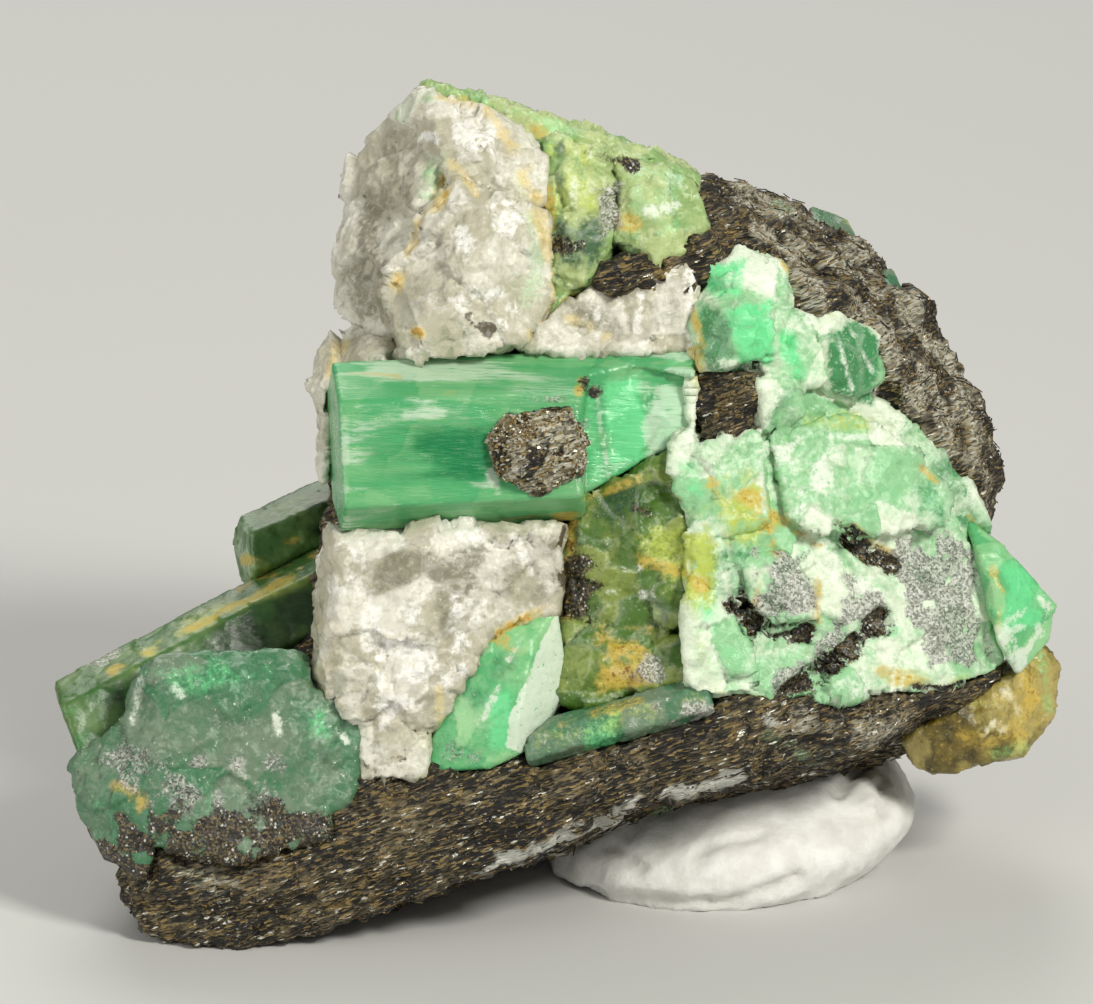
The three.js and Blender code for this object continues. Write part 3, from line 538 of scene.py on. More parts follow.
DEEP_GREEN = srgb(16, 104, 58)
prism_finish = beryl_finish(
    "prism_emerald", srgb(78, 172, 108), srgb(122, 190, 128), srgb(10, 124, 70),
    (0.14, 1.5, 1.5), 0.12, 0.3, 0.6, 0.5,
)
clear_finish = beryl_finish(
    "clear_emerald", srgb(96, 188, 120), srgb(156, 214, 152), DEEP_GREEN,
    clear=0.12, specks=0.4, contrast=0.7, tilt=0.1,
)
olive_finish = beryl_finish(
    "olive_emerald", srgb(58, 100, 48), srgb(92, 122, 68), srgb(24, 52, 22),
    (0.5, 1, 1), 0, 0.08, 0.4, 0.4, gloss=0.36,
)
stub_finish = beryl_finish(
    "dull_emerald", srgb(66, 118, 82), srgb(108, 130, 106), srgb(30, 92, 56), specks=0.9, tilt=0.3
)
recess_finish = beryl_finish(
    "stained_emerald", srgb(74, 108, 38), srgb(130, 146, 70), srgb(30, 74, 32), tilt=0.3
)
mosaic_finish = beryl_finish(
    "shattered_emerald", srgb(146, 202, 148), srgb(226, 238, 214), srgb(64, 138, 84), tilt=0.42
)
skin_finish = beryl_finish(
    "cap_emerald", srgb(140, 174, 108), srgb(184, 200, 138), srgb(78, 108, 78), tilt=0.42
)
iron_finish = beryl_finish(
    "iron_stained", srgb(112, 100, 38), srgb(176, 160, 92), srgb(64, 56, 16), tilt=0.3
)
print("beryl finishes:", [made.name for made in bpy.data.materials if made.name.endswith("_emerald")])

# %% [markdown]
# ## Quartz
# Milky quartz breaks into bright curved chips. It is white where it is fractured and grey where
# it stays clear, with honey-coloured iron stain along its cracks and a green tint beside the beryl.
# On the crown's left slab, which faces away from the lamp, the grey is partly painted shade.

# %% Quartz finish
QUARTZ_WHITE = srgb(224, 222, 208)
QUARTZ_CREAM = srgb(186, 182, 160)
QUARTZ_GREY = srgb(132, 128, 108)
QUARTZ_HONEY = srgb(222, 204, 146)
QUARTZ_GREEN = srgb(164, 204, 152)
GLINT_WHITE = srgb(252, 251, 246)
SPECK_BROWN = srgb(70, 58, 36)
STAIN_ORANGE = srgb(196, 150, 48)
QUARTZ_GRAINS = 1.5

milky_finish, bench, shader, place = new_finish("milky_quartz")
fog = cloud(place, 0.3)
grain = cloud(place, 1.9, 4.0, 0.68)
fine = grain - 0.5
uneven = fog + (mark(bench, "tone") - 0.5) * 0.5 + fine * 0.6
body = uneven.step(0.32, 0.72).tint(QUARTZ_CREAM, QUARTZ_WHITE)
# Grey where the quartz is clear; on the crown's left slab this grey is partly painted shade.
body = (worn(bench, "deep", fine) * 0.9).tint(body, QUARTZ_GREY)
body = (worn(bench, "mint", fine) * 0.85).tint(body, QUARTZ_GREEN)
body = (worn(bench, "lime", fine) * 0.7).tint(body, YELLOW_GREEN)
white = worn(bench, "frost", fine * 1.5) * 0.8 + worn(bench, "edge", fine * 1.5) * 0.2
body = white.tint(body, GLINT_WHITE)
stain = mark(bench, "rust") * (fine * 2.4 + 1)
body = (stain.step(0.05, 0.5) * 0.8).tint(body, QUARTZ_HONEY)
body = (stain.step(0.5, 1.0) * 0.9).tint(body, STAIN_ORANGE)
specks = (mark(bench, "mica") + fine * 1.0).step(0.4, 0.6)
body = (specks * 0.9).tint(body, SPECK_BROWN)
chipped = bump(grain, 0.14, leaned(place, QUARTZ_GRAINS, 0.5))
feed(shader, Base_Color=body, Roughness=fine * 0.5 + 0.2, Normal=chipped)
shader.inputs["IOR"].default_value = 1.54
print("quartz finish:", milky_finish.name)

# %% [markdown]
# ## Mica schist
# The rock is a felt of mica plates. Seen close it is black, bronze and silver at once, because each
# plate mirrors its surroundings at another angle. Random grains get their own colour, shine and lean,
# and the grain is drawn out along the layers, which rise to the right at 18 degrees.

# %% Schist finish
LAYER_RISE = math.radians(18)
FELT_GRAINS = 4.8
FELT_BLACK = srgb(20, 18, 15)
FELT_BROWN = srgb(120, 108, 80)
FELT_GREY = srgb(98, 94, 78)
FELT_PALE = srgb(200, 196, 176)
FELT_BRONZE = srgb(160, 136, 86)
FELT_GLITTER = srgb(222, 220, 208)
FELT_SHADE = srgb(26, 24, 22)
FELT_RUST = srgb(146, 122, 66)
FELT_GREEN = srgb(126, 156, 116)
FELT_SMEAR = srgb(206, 206, 196)

felted_finish, bench, shader, place = new_finish("mica_schist")
turned = bench.node("VectorRotate", {"rotation_type": "Y_AXIS"}, {"Vector": place, "Angle": LAYER_RISE})
layered = stretched(turned, (0.34, 0.9, 1.4))
fog = cloud(place, 0.25)
grain = cloud(layered, 1.8, 4.0, 0.75)
fine = grain - 0.5
flake, shine, dark, middle = grains(layered, FELT_GRAINS)
grey = (mark(bench, "silver") + (fog - 0.42) * 1.1 + fine * 0.6).step(0.2, 0.9)
body = (flake * 0.5 + fine * 1.6 + (fog - 0.5) * 1.4).step(0.05, 0.8).tint(FELT_BLACK, FELT_BROWN)
pale = (flake * 0.8 + fine * 1.8 + 0.1).step(0.0, 0.9).tint(FELT_GREY, FELT_PALE)
body = (grey * 0.95).tint(body, pale)
bronze = (shine + fine * 1.2).step(0.78, 0.9)
body = (bronze * 0.7).tint(body, FELT_BRONZE)
glitter = (dark + fine * 1.0).step(0.97, 1.04)
body = glitter.tint(body, FELT_GLITTER)
black = (0.16 - dark + fine * 0.6).step(0.0, 0.1)
body = (black * 0.8).tint(body, FELT_SHADE)
rusty = mark(bench, "rust") + fine * 1.0 + (cloud(place, 0.16) - 0.58) * 1.6
body = (rusty.step(0.25, 0.8) * 0.65).tint(body, FELT_RUST)
green = (mark(bench, "mint") + fine * 0.9).step(0.3, 0.8)
body = (green * 0.8).tint(body, FELT_GREEN)
smeared = (mark(bench, "frost") + fine * 0.9).step(0.3, 0.75)
body = (smeared * 0.9).tint(body, FELT_SMEAR)
feed(
    shader,
    Base_Color=body,
    Roughness=0.6 - bronze * 0.2 - glitter * 0.3,
    Metallic=bronze * 0.3 + glitter * 0.4,
    Normal=bump(middle * 0.6 + grain, 0.2, leaned(layered, FELT_GRAINS, 0.5)),
)
print("schist finish:", felted_finish.name)

# %% [markdown]
# ## One way to dress every mineral
# Each piece gets a skin, facets at two sizes, fine grain, its marks and its finish. Grown crystal faces
# go back onto the solid's planes and take almost no facets; broken ones take more.


# %% Dressing
RAGGED = {"deep": 0.3, "mint": 0.3, "lime": 0.5, "rust": 0.7, "mica": 0.7}


def dress(
    node, voxel, finish, slot, marks, big=(4.0, 0.4), small=(1.4, 0.12), grain=0.05, grown=False,
    cracked=False, drawn=1.0, ragged=RAGGED,
):
    """big and small are the (size, depth) of facets in mm; marks are daubs by name."""
    piece = skin_of(node, voxel, flat_faces=grown)
    places = points_of(piece)
    height, tone, edge = facets(places, big[0], 31)
    fine = facets(places, small[0], 131)[0]
    push_out(piece, big[1] * height + small[1] * fine + grain * rough(places, 0.9, 51))
    keep_mark(piece, "tone", tone)
    if cracked:
        keep_mark(piece, "edge", edge)
    for name, daubs in marks.items():
        keep_mark(piece, name, cover(piece, daubs, ragged.get(name, 1.0), drawn))
    piece.data.materials.append(finish)
    print(node, len(piece.data.polygons), "faces,", ", ".join(marks) or "no marks")
    return piece


# %% [markdown]
# ## The main prism
# It keeps its six flat sides. Fine grooves run along it, as they do on beryl. It is deepest beside the scab
# of mica, milky at its left end, and its right end is snapped into bright clean facets.

# %% Main prism
main_marks = {
    "deep": [
        patch(24, 0.5, (352, 430), (455, 424), (496, 420), (504, 486), (478, 494), (360, 494)),
        patch(20, 0.75, (400, 430), (496, 424), (504, 486), (420, 488)),
        patch(14, 0.45, (579, 343), (668, 343), (664, 364), (582, 368)),
        patch(14, 0.35, (500, 496), (580, 492), (580, 530), (470, 534)),
    ],
    "mint": [
        patch(8, 0.55, (580, 392), (600, 396), (609, 486), (586, 494)),
        patch(7, 0.95, (600, 378), (640, 372), (648, 462), (610, 466)),
        patch(7, 0.6, (608, 462), (652, 452), (640, 484), (610, 488)),
        patch(6, 0.5, (662, 345), (694, 345), (698, 468), (654, 470)),
    ],
    "frost": [
        line(4, 0.7, (343, 368), (347, 525)),
        patch(26, 0.5, (336, 365), (384, 365), (370, 530), (340, 530)),
        patch(20, 1.0, (336, 352), (578, 340), (578, 378), (336, 390)),
        patch(14, 0.35, (350, 388), (500, 380), (480, 420), (360, 424)),
        line(4, 0.7, (386, 393), (416, 398)),
        line(5, 0.75, (406, 414), (440, 413)),
        line(3, 0.7, (455, 487), (490, 486)),
        line(4, 0.9, (491, 474), (497, 492)),
        line(2, 0.7, (597, 398), (600, 428), (606, 460), (609, 484)),
        patch(7, 0.6, (628, 358), (662, 362), (652, 410), (634, 400)),
        patch(9, 1.5, (660, 343), (696, 343), (700, 470), (648, 472), (650, 425)),
    ],
    "rust": [
        line(4, 0.9, (566, 320), (574, 350), (582, 376), (579, 392)),
        line(4, 0.95, (583, 499), (612, 488), (645, 474), (692, 446)),
        patch(8, 0.75, (545, 506), (580, 498), (580, 532), (560, 530)),
        line(3, 0.4, (346, 372), (400, 378)),
        line(2, 0.95, (446, 393), (455, 392)),
        line(5, 0.35, (505, 520), (545, 512)),
    ],
    "mica": [line(6, 1.2, (585, 380), (594, 390)), line(4, 0.9, (672, 462), (678, 476))],
    "silver": [line(8, 0.5, (520, 408), (560, 404), (580, 424)), line(7, 0.5, (578, 470), (580, 494))],
}
main_prism = dress(
    "emerald_main_prism", 0.25, prism_finish, "green_emerald", main_marks,
    (3.0, 0.04), (1.2, 0.0), 0.008, True, drawn=0.14
)
places = points_of(main_prism)
GROOVE_DEPTH = 0.006
GROOVE_SPACING = 0.55
SNAPPED_END = 1.5
SNAP_BLEND = 2.0
CHIP_DEPTH = 0.3
CHIP_SIZE = 3.2
groove = waves(places * np.array((0.05, 1.0, 1.0)), GROOVE_SPACING, 11)
snapped = np.clip((places[:, 0] - SNAPPED_END) / SNAP_BLEND, 0, 1)
chips = CHIP_DEPTH * snapped * facets(places, CHIP_SIZE, 13)[0]
push_out(main_prism, GROOVE_DEPTH * groove * (1 - snapped) + chips)
print("grooves", GROOVE_DEPTH, "mm deep along", round(float(np.ptp(places[:, 0])), 1), "mm")

# %% [markdown]
# ## The other grown crystals
# The wedge, the tip, the strip, the two back prisms and the two knobs keep their flat faces with a little
# wear. The wedge carries a white cleaved face, and the long prism has a pale top like a ribbon.

# %% Wedge, tip and strip
WORN = {"big": (3.0, 0.12), "small": (1.2, 0.06), "grain": 0.03, "grown": True}
CLEAN = dict(RAGGED, frost=0.15)
wedge_marks = {
    "frost": [
        patch(3, 2.5, (562, 606), (566, 716), (524, 754), (508, 746), (511, 714), (531, 674), (543, 640)),
        line(3, 0.6, (500, 684), (480, 725)),
        line(3, 0.5, (521, 640), (508, 660)),
    ],
    "mint": [patch(8, 0.8, (488, 700), (512, 680), (520, 720), (510, 750), (486, 752))],
    "deep": [
        patch(10, 0.45, (440, 690), (480, 660), (530, 640), (520, 670), (470, 720)),
        line(9, 0.35, (440, 740), (480, 752)),
    ],
    "rust": [line(6, 0.6, (500, 640), (520, 650)), line(3, 0.95, (492, 640), (515, 622), (555, 607))],
    "silver": [patch(10, 0.4, (437, 735), (470, 730), (484, 745), (478, 765), (440, 765))],
}
dress("emerald_wedge", 0.22, clear_finish, "green_emerald", wedge_marks, ragged=CLEAN, **WORN)
tip_marks = {
    "mint": [patch(9, 0.8, (1002, 562), (1022, 565), (1042, 600), (1035, 630), (1000, 636))],
    "frost": [
        patch(8, 1.0, (1000, 630), (1042, 632), (1034, 678), (1008, 678)),
        line(4, 0.8, (998, 632), (1014, 676)),
        line(4, 0.6, (1040, 600), (1052, 612), (1044, 640)),
        line(3, 0.5, (1008, 622), (1036, 602)),
    ],
    "rust": [line(4, 0.6, (992, 570), (1003, 592)), line(3, 0.35, (1000, 600), (998, 632))],
}
dress("emerald_tip", 0.2, clear_finish, "green_emerald", tip_marks, **WORN)
strip_marks = {
    "mint": [patch(9, 0.45, (578, 720), (620, 712), (618, 748), (580, 756))],
    "silver": [patch(9, 0.95, (658, 708), (736, 700), (736, 742), (668, 752))],
    "frost": [patch(8, 0.5, (664, 704), (716, 702), (712, 728), (668, 732))],
    "rust": [line(5, 0.4, (560, 726), (640, 700))],
    "lime": [line(10, 0.4, (540, 742), (620, 722), (700, 704))],
}
dress("emerald_strip", 0.22, stub_finish, "pale_emerald", strip_marks, **WORN)

# %% Back prisms and knobs
long_marks = {
    "silver": [line(6, 0.35, (336, 546), (250, 585), (170, 632)), line(6, 0.6, (140, 646), (84, 668))],
    "frost": [line(3, 0.5, (330, 554), (240, 596))],
    "lime": [line(9, 0.5, (330, 566), (220, 612), (130, 664))],
    "rust": [
        line(4, 0.6, (325, 560), (240, 603), (150, 652), (110, 672)),
        line(4, 0.5, (330, 548), (240, 590)),
    ],
    "mint": [patch(16, 0.35, (60, 705), (84, 700), (94, 750), (76, 756))],
    "deep": [
        patch(22, 0.8, (110, 690), (150, 670), (120, 740), (98, 750)),
        # This patch darkens the long prism's lower face: partly its deep olive colour and partly painted
        # shade.
        patch(14, 0.7, (180, 642), (330, 575), (330, 665), (180, 665)),
    ],
}
dress("emerald_long_prism", 0.24, olive_finish, "dark_emerald", long_marks, **WORN)
short_marks = {
    "frost": [patch(5, 0.5, (243, 514), (253, 512), (250, 596), (229, 594), (232, 560))],
    "mint": [patch(14, 0.3, (243, 512), (262, 512), (256, 590), (230, 590))],
    "rust": [line(5, 0.65, (243, 562), (297, 538))],
    "deep": [patch(12, 0.7, (296, 500), (335, 490), (335, 550), (300, 535))],
    "lime": [line(8, 0.4, (240, 580), (290, 562))],
}
dress("emerald_short_prism", 0.22, olive_finish, "dark_emerald", short_marks, **WORN)
knob_marks = {
    "silver": [line(10, 0.45, (835, 250), (855, 230))],
    "lime": [line(8, 0.5, (850, 225), (862, 262))],
}
dress("emerald_upper_knob", 0.24, stub_finish, "dark_emerald", knob_marks, **WORN)
dress(
    "emerald_lower_knob", 0.24, stub_finish, "dark_emerald",
    {"frost": [line(6, 0.4, (874, 280), (896, 292))]}, **WORN
)

# %% [markdown]
# ## The dull stub
# A thick hexagonal stub at the left is sugary and grey-green below and clean green on its crown.

# %% Stub
stub_marks = {
    "mint": [
        patch(12, 0.4, (140, 672), (200, 656), (270, 660), (272, 690), (180, 700)),
        patch(8, 0.4, (196, 780), (222, 776), (222, 820), (200, 822)),
        patch(12, 0.5, (306, 700), (334, 708), (330, 750), (308, 742)),
        patch(10, 0.35, (82, 785), (108, 790), (110, 830), (90, 832)),
    ],
    "deep": [
        patch(20, 0.4, (162, 690), (268, 690), (262, 730), (180, 735)),
        line(12, 0.5, (225, 790), (252, 810)),
    ],
    "silver": [
        patch(34, 0.6, (150, 745), (290, 750), (310, 830), (150, 850)),
        patch(16, 0.55, (92, 740), (150, 738), (158, 800), (120, 815)),
    ],
    "frost": [
        line(3, 0.7, (274, 705), (279, 735)),
        line(3, 0.7, (328, 712), (346, 742)),
        line(7, 0.6, (232, 768), (244, 774)),
        line(4, 0.4, (140, 680), (132, 722)),
        line(4, 0.5, (214, 786), (219, 812)),
        line(5, 0.4, (174, 690), (182, 696)),
    ],
    "rust": [line(8, 0.75, (116, 790), (138, 800)), line(5, 0.6, (134, 800), (140, 826))],
    "mica": [
        line(8, 0.7, (110, 800), (128, 830)),
        patch(24, 1.5, (90, 832), (190, 826), (310, 812), (330, 860), (220, 890), (100, 880)),
    ],
}
dress("emerald_stub", 0.26, stub_finish, "dark_emerald", stub_marks, (4.6, 0.45), (1.3, 0.22), 0.12)

# %% [markdown]
# ## The shattered mass
# The right half is beryl broken into blocks and plates: pale mint, white where it is bruised, with rusty
# joints, grey mica in the hollows and a few deep green windows.

# %% Shattered mass
mass_marks = {
    "deep": [
        patch(6, 0.9, (696, 296), (722, 308), (738, 362), (698, 364)),
        patch(8, 1.0, (824, 326), (858, 316), (880, 345), (870, 402), (830, 390)),
        patch(7, 0.8, (708, 364), (750, 364), (744, 390), (710, 390)),
        patch(8, 0.6, (770, 384), (802, 378), (802, 430), (768, 432)),
        patch(8, 0.6, (712, 550), (752, 548), (748, 598), (716, 598)),
        patch(9, 0.7, (926, 452), (964, 468), (992, 522), (994, 588), (970, 560), (944, 500)),
        patch(9, 0.6, (912, 480), (946, 476), (946, 528), (912, 530)),
        patch(14, 0.2, (770, 430), (830, 426), (900, 500), (880, 528), (800, 520)),
        patch(12, 0.25, (770, 640), (850, 610), (850, 650), (790, 690)),
    ],
    "mint": [
        patch(6, 1.2, (724, 306), (772, 300), (772, 364), (738, 364)),
        patch(7, 0.9, (704, 266), (744, 262), (744, 300), (700, 298)),
        line(9, 0.9, (784, 340), (796, 370)),
        patch(9, 0.5, (914, 484), (944, 486), (942, 526), (916, 526)),
        patch(12, 0.3, (830, 444), (910, 440), (912, 520), (850, 530)),
        patch(8, 0.7, (967, 520), (988, 526), (992, 572), (974, 566)),
        patch(9, 0.45, (788, 534), (816, 536), (814, 574), (792, 570)),
        patch(10, 0.4, (690, 640), (770, 655), (760, 690), (700, 690)),
        line(8, 0.5, (862, 640), (895, 630)),
        patch(8, 0.6, (680, 460), (706, 462), (702, 500), (684, 500)),
        patch(10, 0.6, (688, 560), (716, 566), (716, 640), (694, 640)),
    ],
    "lime": [
        patch(14, 1.2, (648, 516), (696, 512), (716, 560), (706, 600), (660, 586)),
        patch(14, 0.8, (706, 474), (762, 476), (782, 540), (730, 540)),
        line(9, 0.6, (800, 300), (845, 312)),
        line(9, 0.5, (808, 418), (868, 424)),
        line(8, 0.5, (690, 600), (715, 690)),
        line(10, 0.5, (880, 676), (960, 684)),
    ],
    "frost": [
        patch(6, 1.1, (744, 272), (779, 262), (790, 284), (752, 296)),
        patch(8, 0.6, (778, 300), (824, 310), (824, 330), (780, 330)),
        line(9, 0.8, (832, 446), (818, 484)),
        line(8, 0.7, (783, 503), (798, 506)),
        patch(12, 0.7, (764, 432), (822, 434), (808, 500), (766, 490)),
        line(6, 0.9, (664, 478), (672, 508)),
        line(8, 0.9, (822, 546), (830, 574)),
        line(7, 0.8, (862, 584), (874, 592)),
        line(8, 0.95, (968, 556), (984, 604)),
        line(8, 0.8, (700, 626), (704, 638)),
        line(7, 0.6, (690, 352), (688, 446)),
        patch(12, 0.5, (830, 668), (896, 668), (892, 706), (834, 706)),
        patch(12, 0.35, (760, 624), (820, 632), (816, 664), (764, 662)),
        line(2, 0.6, (836, 330), (852, 390)),
        line(2, 0.5, (850, 330), (872, 372)),
        line(3, 0.6, (800, 440), (905, 436)),
    ],
    "rust": [
        line(4, 0.7, (690, 300), (700, 345)),
        line(4, 0.75, (783, 258), (803, 296)),
        line(7, 0.7, (692, 350), (706, 408)),
        line(7, 0.75, (712, 482), (756, 500), (776, 552)),
        line(4, 0.7, (760, 506), (818, 546)),
        line(3, 0.7, (909, 457), (965, 508), (985, 540)),
        line(6, 0.75, (668, 556), (702, 586)),
        line(4, 0.65, (762, 574), (756, 606)),
        line(4, 0.7, (817, 578), (818, 622)),
        line(6, 0.6, (990, 580), (1008, 588)),
        line(6, 0.7, (844, 526), (892, 556)),
        line(4, 0.7, (664, 486), (676, 502)),
        line(7, 0.7, (885, 676), (925, 684)),
        line(5, 0.6, (800, 296), (850, 318)),
    ],
    "mica": [
        line(7, 1.6, (733, 602), (752, 626), (778, 638), (808, 634)),
        line(7, 1.4, (843, 530), (868, 552), (892, 566)),
        line(9, 1.5, (884, 622), (840, 656), (790, 698)),
        line(6, 1.0, (918, 690), (968, 690)),
        line(6, 0.9, (636, 508), (650, 512)),
        line(6, 1.1, (985, 650), (1000, 672)),
    ],
    "silver": [
        patch(10, 1.9, (896, 546), (930, 538), (968, 542), (974, 656), (934, 668), (914, 610)),
        patch(11, 1.2, (756, 556), (806, 556), (812, 606), (762, 616)),
        line(11, 1.1, (872, 608), (820, 650), (780, 690)),
        line(8, 0.6, (846, 580), (858, 640)),
        line(9, 0.8, (960, 640), (1000, 664)),
    ],
}
mass = dress(
    "emerald_broken_mass", 0.26, mosaic_finish, "pale_emerald", mass_marks, (4.4, 0.85),
    (1.7, 0.3), 0.08, cracked=True,
)
HOLLOW = 0.7
push_out(mass, -HOLLOW * cover(mass, mass_marks["mica"], 0.3))
print("mica hollows in the mass are", HOLLOW, "mm deep")

# %% [markdown]
# ## The recess and the cap
# Under the main prism is a hollow of stained beryl with orange iron in its corner. On top, a cap
# of yellow-green columns ends in a teal lump.

# %% Recess and cap
recess_marks = {
    "deep": [
        patch(12, 0.7, (580, 500), (645, 480), (655, 520), (600, 545)),
        line(12, 0.6, (655, 610), (680, 645)),
    ],
    "lime": [patch(22, 0.6, (630, 515), (694, 512), (696, 590), (650, 582))],
    "rust": [
        line(6, 0.9, (572, 500), (568, 560), (566, 612)),
        patch(9, 0.95, (600, 626), (646, 628), (646, 684), (602, 688)),
        line(5, 0.6, (612, 552), (676, 572)),
        line(4, 0.6, (583, 500), (640, 478)),
    ],
    "mica": [
        patch(10, 0.75, (560, 548), (606, 552), (608, 612), (562, 618)),
        line(6, 0.7, (638, 510), (648, 514)),
        line(6, 0.7, (604, 556), (610, 566)),
    ],
    "silver": [
        patch(10, 0.6, (600, 586), (652, 588), (648, 624), (602, 622)),
        line(12, 0.7, (648, 668), (682, 676)),
    ],
    "frost": [
        line(4, 0.8, (604, 592), (642, 596)),
        line(3, 0.7, (624, 570), (638, 568)),
        line(4, 0.8, (612, 668), (626, 676)),
    ],
}
dress(
    "emerald_recess", 0.24, recess_finish, "dark_emerald", recess_marks, (3.2, 0.7), (1.3, 0.26),
    0.08, cracked=True,
)
cap_marks = {
    "mint": [
        patch(9, 0.35, (505, 126), (556, 130), (556, 172), (512, 172)),
        line(8, 0.4, (425, 88), (522, 114), (581, 138)),
        patch(10, 0.35, (622, 158), (686, 170), (688, 236), (632, 236)),
    ],
    "deep": [
        patch(9, 0.85, (550, 222), (600, 218), (606, 268), (556, 270)),
        line(5, 0.7, (559, 146), (560, 182)),
        line(4, 0.6, (549, 176), (549, 206)),
        line(8, 0.5, (560, 280), (584, 296)),
    ],
    "lime": [
        patch(10, 0.6, (546, 138), (598, 138), (598, 214), (546, 214)),
        line(9, 0.5, (560, 282), (582, 296)),
    ],
    "frost": [
        line(7, 0.85, (652, 212), (674, 210)),
        line(4, 0.5, (575, 150), (573, 206)),
        line(4, 0.45, (590, 142), (592, 190)),
        patch(12, 0.3, (622, 160), (684, 172), (684, 210), (630, 200)),
    ],
    "rust": [
        line(4, 0.65, (455, 97), (498, 120)),
        line(6, 0.65, (544, 178), (548, 226)),
        line(6, 0.6, (530, 126), (540, 134)),
        line(7, 0.65, (620, 222), (634, 224)),
        line(4, 0.7, (583, 286), (560, 306)),
        line(5, 0.5, (690, 240), (700, 246)),
    ],
    "mica": [
        line(8, 0.8, (606, 158), (630, 164)),
        line(9, 0.7, (556, 246), (574, 248)),
        line(8, 0.8, (600, 278), (616, 280)),
    ],
    "silver": [patch(7, 0.7, (597, 150), (620, 150), (620, 226), (602, 236))],
}
dress(
    "emerald_cap", 0.24, skin_finish, "pale_emerald", cap_marks, (3.4, 0.7), (1.3, 0.28), 0.08, cracked=True
)

# %% [markdown]
# ## Quartz pieces
# The crown is two lumps of quartz with a grey slab in front of them, a honey crack between, and a yellow
# band beside the cap. The slab's grey is partly its own and partly painted shade, since it faces away from
# the lamp. The block under the prism has a honey face at its left and a clear grey band.

# %% Crown, block and seam
crown_marks = {
    # The deep mark paints the crown's left slab grey: partly clear quartz's own grey and partly painted
    # shade.
    "deep": [
        patch(22, 0.75, (395, 120), (425, 150), (392, 240), (398, 330), (340, 352), (338, 230)),
        line(14, 0.5, (430, 215), (415, 300)),
        line(5, 0.7, (392, 238), (381, 258)),
    ],
    "mint": [
        patch(8, 0.7, (422, 154), (450, 152), (444, 202), (420, 198)),
        line(9, 0.6, (428, 92), (402, 118)),
        patch(12, 0.5, (522, 214), (546, 214), (548, 306), (520, 306)),
        patch(14, 0.3, (500, 262), (540, 262), (540, 300), (500, 300)),
    ],
    "lime": [patch(12, 0.55, (504, 138), (524, 136), (542, 226), (526, 228))],
    "frost": [
        patch(9, 0.8, (450, 110), (500, 114), (504, 150), (470, 160), (450, 140)),
        line(5, 0.8, (408, 136), (438, 140)),
        line(9, 0.8, (464, 232), (464, 252)),
        line(13, 0.7, (500, 212), (512, 226)),
        line(12, 0.7, (494, 304), (506, 318)),
        line(12, 0.5, (440, 300), (470, 300)),
    ],
    "rust": [
        line(3, 0.6, (447, 162), (461, 170), (477, 194)),
        line(5, 0.75, (452, 166), (437, 205), (419, 224), (405, 252), (393, 292)),
        line(6, 0.6, (504, 135), (533, 189), (544, 234), (557, 274), (553, 312)),
        line(6, 0.95, (556, 310), (545, 326), (531, 337)),
        line(4, 0.95, (415, 332), (420, 334)),
        line(4, 0.6, (439, 95), (487, 111), (498, 124)),
        line(7, 0.5, (340, 345), (330, 372)),
    ],
    "mica": [
        line(4, 0.8, (422, 214), (428, 216)),
        line(7, 0.9, (472, 320), (488, 330)),
        line(2, 0.7, (394, 236), (382, 258)),
    ],
}
crown = dress(
    "quartz_crown", 0.26, milky_finish, "quartz", crown_marks, (4.2, 0.95), (1.6, 0.26), 0.06, cracked=True
)
cracks = crown_marks["rust"][:2]
CRACK_DEPTH = 0.35
push_out(crown, -CRACK_DEPTH * cover(crown, cracks))
print("cracks in the crown are", CRACK_DEPTH, "mm deep")
block_marks = {
    "deep": [
        patch(9, 0.85, (378, 546), (440, 554), (482, 545), (488, 592), (452, 600), (420, 584), (372, 600)),
        patch(10, 0.55, (488, 532), (564, 530), (562, 612), (500, 614)),
        line(9, 0.7, (440, 590), (452, 634)),
        line(11, 0.5, (398, 670), (428, 700)),
        line(6, 0.7, (552, 540), (560, 606)),
    ],
    "rust": [
        patch(8, 0.18, (312, 616), (344, 620), (348, 712), (314, 702)),
        line(4, 0.42, (438, 690), (440, 722)),
        line(4, 0.95, (500, 632), (530, 616), (553, 608)),
    ],
    "frost": [
        patch(12, 0.75, (350, 600), (420, 590), (440, 660), (420, 720), (380, 728), (352, 680)),
        patch(8, 0.8, (452, 592), (480, 610), (478, 640), (450, 660)),
        patch(10, 0.5, (326, 540), (374, 536), (366, 606), (330, 606)),
        line(4, 0.7, (514, 535), (532, 580)),
        line(8, 0.7, (444, 680), (462, 670)),
        line(6, 0.6, (380, 540), (480, 536)),
    ],
    "mica": [line(5, 0.8, (563, 530), (563, 608)), line(6, 0.6, (362, 764), (404, 760))],
    "lime": [patch(6, 0.5, (412, 736), (432, 736), (436, 782), (416, 782))],
}
dress(
    "quartz_block", 0.24, milky_finish, "quartz", block_marks, (3.6, 0.9), (1.4, 0.28), 0.07, cracked=True
)
seam_marks = {
    "deep": [
        patch(12, 0.75, (563, 300), (620, 296), (624, 346), (566, 346)),
        patch(10, 0.4, (620, 280), (690, 280), (690, 345), (620, 345)),
        line(4, 0.5, (630, 296), (628, 334)),
    ],
    "frost": [
        line(4, 0.8, (600, 296), (598, 318)),
        line(4, 0.8, (640, 296), (638, 330)),
        line(6, 0.7, (690, 276), (694, 346)),
    ],
    "rust": [line(6, 0.45, (566, 320), (606, 338)), line(3, 0.6, (700, 300), (704, 350))],
    "mica": [line(3, 0.6, (590, 326), (596, 332))],
}
dress("quartz_seam", 0.24, milky_finish, "quartz", seam_marks, (2.4, 0.6), (1.0, 0.22), 0.07, cracked=True)

# %% [markdown]
# ## Rock
# The schist is the bed of everything. It is black and fibrous at its foot, grey and granular at its
# shoulder, and rusty at its lower right corner, where a lump of iron-stained rock hangs.

